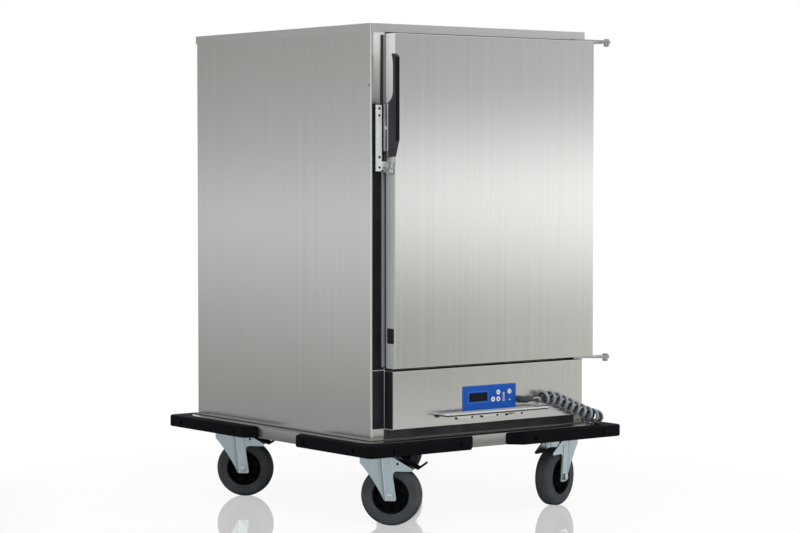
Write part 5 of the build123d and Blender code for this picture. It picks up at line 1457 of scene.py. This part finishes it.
class TROLLEY_OT_bumpers(bpy.types.Operator):
    """Ledge of the deck and corner bumpers"""

    bl_idname = "trolley.bumpers"
    bl_label = "Bumpers"

    def execute(self, context):
        tone = settings().finish
        size = settings().bumpers
        low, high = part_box("bumper_front_left")
        lip_low, lip_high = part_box("base_frame")
        wall_low, wall_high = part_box("left_wall")
        reach = -wall_low.x + size.ledge_side
        ledge_low = np.array((-reach, wall_low.y - size.ledge_front, low.z + 0.5 * MM))
        ledge_high = np.array((reach, wall_high.y + size.ledge_rear, high.z + size.ledge_rise))
        gap = 0.2 * MM
        ring = ledge_surface(ledge_low, ledge_high, np.array(lip_low) - gap, np.array(lip_high) + gap,
                             size.ledge_fold, size.deck_corner)
        satin = brushed_steel(scaled(tone.steel, 0.48), "ledge_steel", LEDGE_GRAIN, 0.0)
        Shell().add(ring, round_rows=True, ends=False).piece("deck_ledge", satin, "cabinet", "stainless")

        plastic = bumper_plastic(tone.bumper)
        radii = np.full((2, 28), size.recess)
        depths = np.array([[-size.recess_depth], [size.recess_depth]])
        for corner in CORNERS:
            outer, ends, way = bumper_places(corner)
            ledge = np.where(way < 0, ledge_low[:2], ledge_high[:2])
            body = Shell().add(bumper_surface(outer, ledge, ends, low.z, high.z, size))
            holes = Shell()
            for face, outward in bumper_screws(corner, size):
                holes.add(turned(radii, depths, face, outward))
            body.piece("corner_" + corner, plastic, "cabinet", "bumper_black", ("bumper_" + corner,), holes)
        return {"FINISHED"}


class TROLLEY_OT_casters(bpy.types.Operator):
    """Tyres and hubs, axle caps, forks, plates and pedals"""

    bl_idname = "trolley.casters"
    bl_label = "Casters"

    def execute(self, context):
        tone = settings().finish
        size = settings().casters
        rubber = tyre_rubber(tone.tyre)
        plastic = moulded_black(tone.hub, "hub_plastic", 0.5, 0.06)
        dress(zinc_plate(tone.zinc), "caster_plates")
        dress(plastic, "pedal_front_left", "pedal_rear_left")
        bright = polished_bar(tone.bar)
        for corner in CORNERS:
            dress(pressed_zinc(tone.zinc, corner), "fork_" + corner)
            centre = np.array(JOINTS["roll_" + corner]["pos_m"])
            axis = np.array(JOINTS["roll_" + corner]["axis"])
            caps = Shell()
            for way in (-axis, axis):
                end = centre + way * size.axle_reach
                caps.add(profiled_head(AXLE_CAP, size.axle_cap, size.axle_tall, end, way))
            caps.piece("axle_caps_" + corner, bright, "caster_" + corner, "zinc")
            tyre = Shell().add(tyre_surface(size, centre, axis), round_rows=True, ends=False)
            tyre.piece("wheel_tyre_" + corner, rubber, "wheel_" + corner, "tyre_grey", ("tyre_" + corner,))
            hub = Shell().add(hub_surface(size, centre, axis), round_rows=True, ends=False)
            hub.piece("wheel_hub_" + corner, plastic, "wheel_" + corner, "hub_black", ("hub_" + corner,))
        return {"FINISHED"}


class TROLLEY_OT_fasteners(bpy.types.Operator):
    """Screws of the bumpers and bolts of the casters"""

    bl_idname = "trolley.fasteners"
    bl_label = "Fasteners"

    def execute(self, context):
        tone = settings().finish
        size = settings().parts
        bumpers = settings().bumpers
        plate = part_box("caster_plates")[1].z - size.plate_sheet
        square = (-size.bolt_square, size.bolt_square)
        screws = Shell()
        bolts = Shell()
        for corner in CORNERS:
            for face, outward in bumper_screws(corner, bumpers):
                floor = face - outward * bumpers.recess_depth
                screws.add(socket_screw(size.cap_screw, size.cap_tall, floor, outward))
            x, y, _ = JOINTS["swivel_" + corner]["pos_m"]
            for dx in square:
                for dy in square:
                    bolts.add(hex_bolt(size.plate_bolt, size.bolt_tall, (x + dx, y + dy, plate), DOWN))
        bolts.piece("bolts", zinc_plate(tone.zinc), "cabinet", "zinc", ("fixing_screws",))
        oxide = moulded_black(tone.screw, "black_oxide", 0.5, 0.2)
        screws.piece("bumper_screws", oxide, "cabinet", "black_trim")
        return {"FINISHED"}


class TROLLEY_OT_inside(bpy.types.Operator):
    """Liner, racks, heater, probe, fan, insulation and board"""

    bl_idname = "trolley.inside"
    bl_label = "Inside"

    def execute(self, context):
        tone = settings().finish
        dress(satin_steel(tone.liner),
              "liner_sides", "liner_rear", "liner_ceiling", "liner_floor", "tray_racks")
        dress(heat_tint(tone.heater), "heater_element", "temperature_probe")
        dress(motor_paint(tone.motor), "fan_motor")
        dress(zinc_plate(tone.zinc), "fan_wheel")
        dress(cut_foam(tone.foam), "wall_insulation")
        dress(circuit_board(tone.board), "controller_board")
        return {"FINISHED"}


# Panel and registration

class TROLLEY_PT_panel(bpy.types.Panel):
    """Lists the trolley's steps"""

    bl_idname = "TROLLEY_PT_panel"
    bl_label = "Trolley"
    bl_space_type = "VIEW_3D"
    bl_region_type = "UI"
    bl_category = "Trolley"

    def draw(self, context):
        for step in STEPS:
            self.layout.operator(step.bl_idname)


STEPS = (
    TROLLEY_OT_stage, TROLLEY_OT_cord, TROLLEY_OT_cabinet, TROLLEY_OT_door, TROLLEY_OT_latch,
    TROLLEY_OT_controls, TROLLEY_OT_bumpers, TROLLEY_OT_casters, TROLLEY_OT_fasteners, TROLLEY_OT_inside,
)
CLASSES = (
    TROLLEY_PG_stage, TROLLEY_PG_finish, TROLLEY_PG_casters, TROLLEY_PG_cord, TROLLEY_PG_bumpers,
    TROLLEY_PG_parts, TROLLEY_PG_settings, *STEPS, TROLLEY_PT_panel,
)


def register():
    """Registers the classes and gives the scene its settings."""
    for made in CLASSES:
        bpy.utils.register_class(made)
    bpy.types.Scene.trolley = PointerProperty(type=TROLLEY_PG_settings, name="Trolley",
                                              description="Trolley settings")


def unregister():
    """Takes the settings and the classes away again."""
    del bpy.types.Scene.trolley
    for made in reversed(CLASSES):
        bpy.utils.unregister_class(made)


def main():
    """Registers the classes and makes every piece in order."""
    register()
    for step in STEPS:
        getattr(bpy.ops.trolley, step.bl_idname.split(".")[1])()


if __name__ == "__main__":
    main()
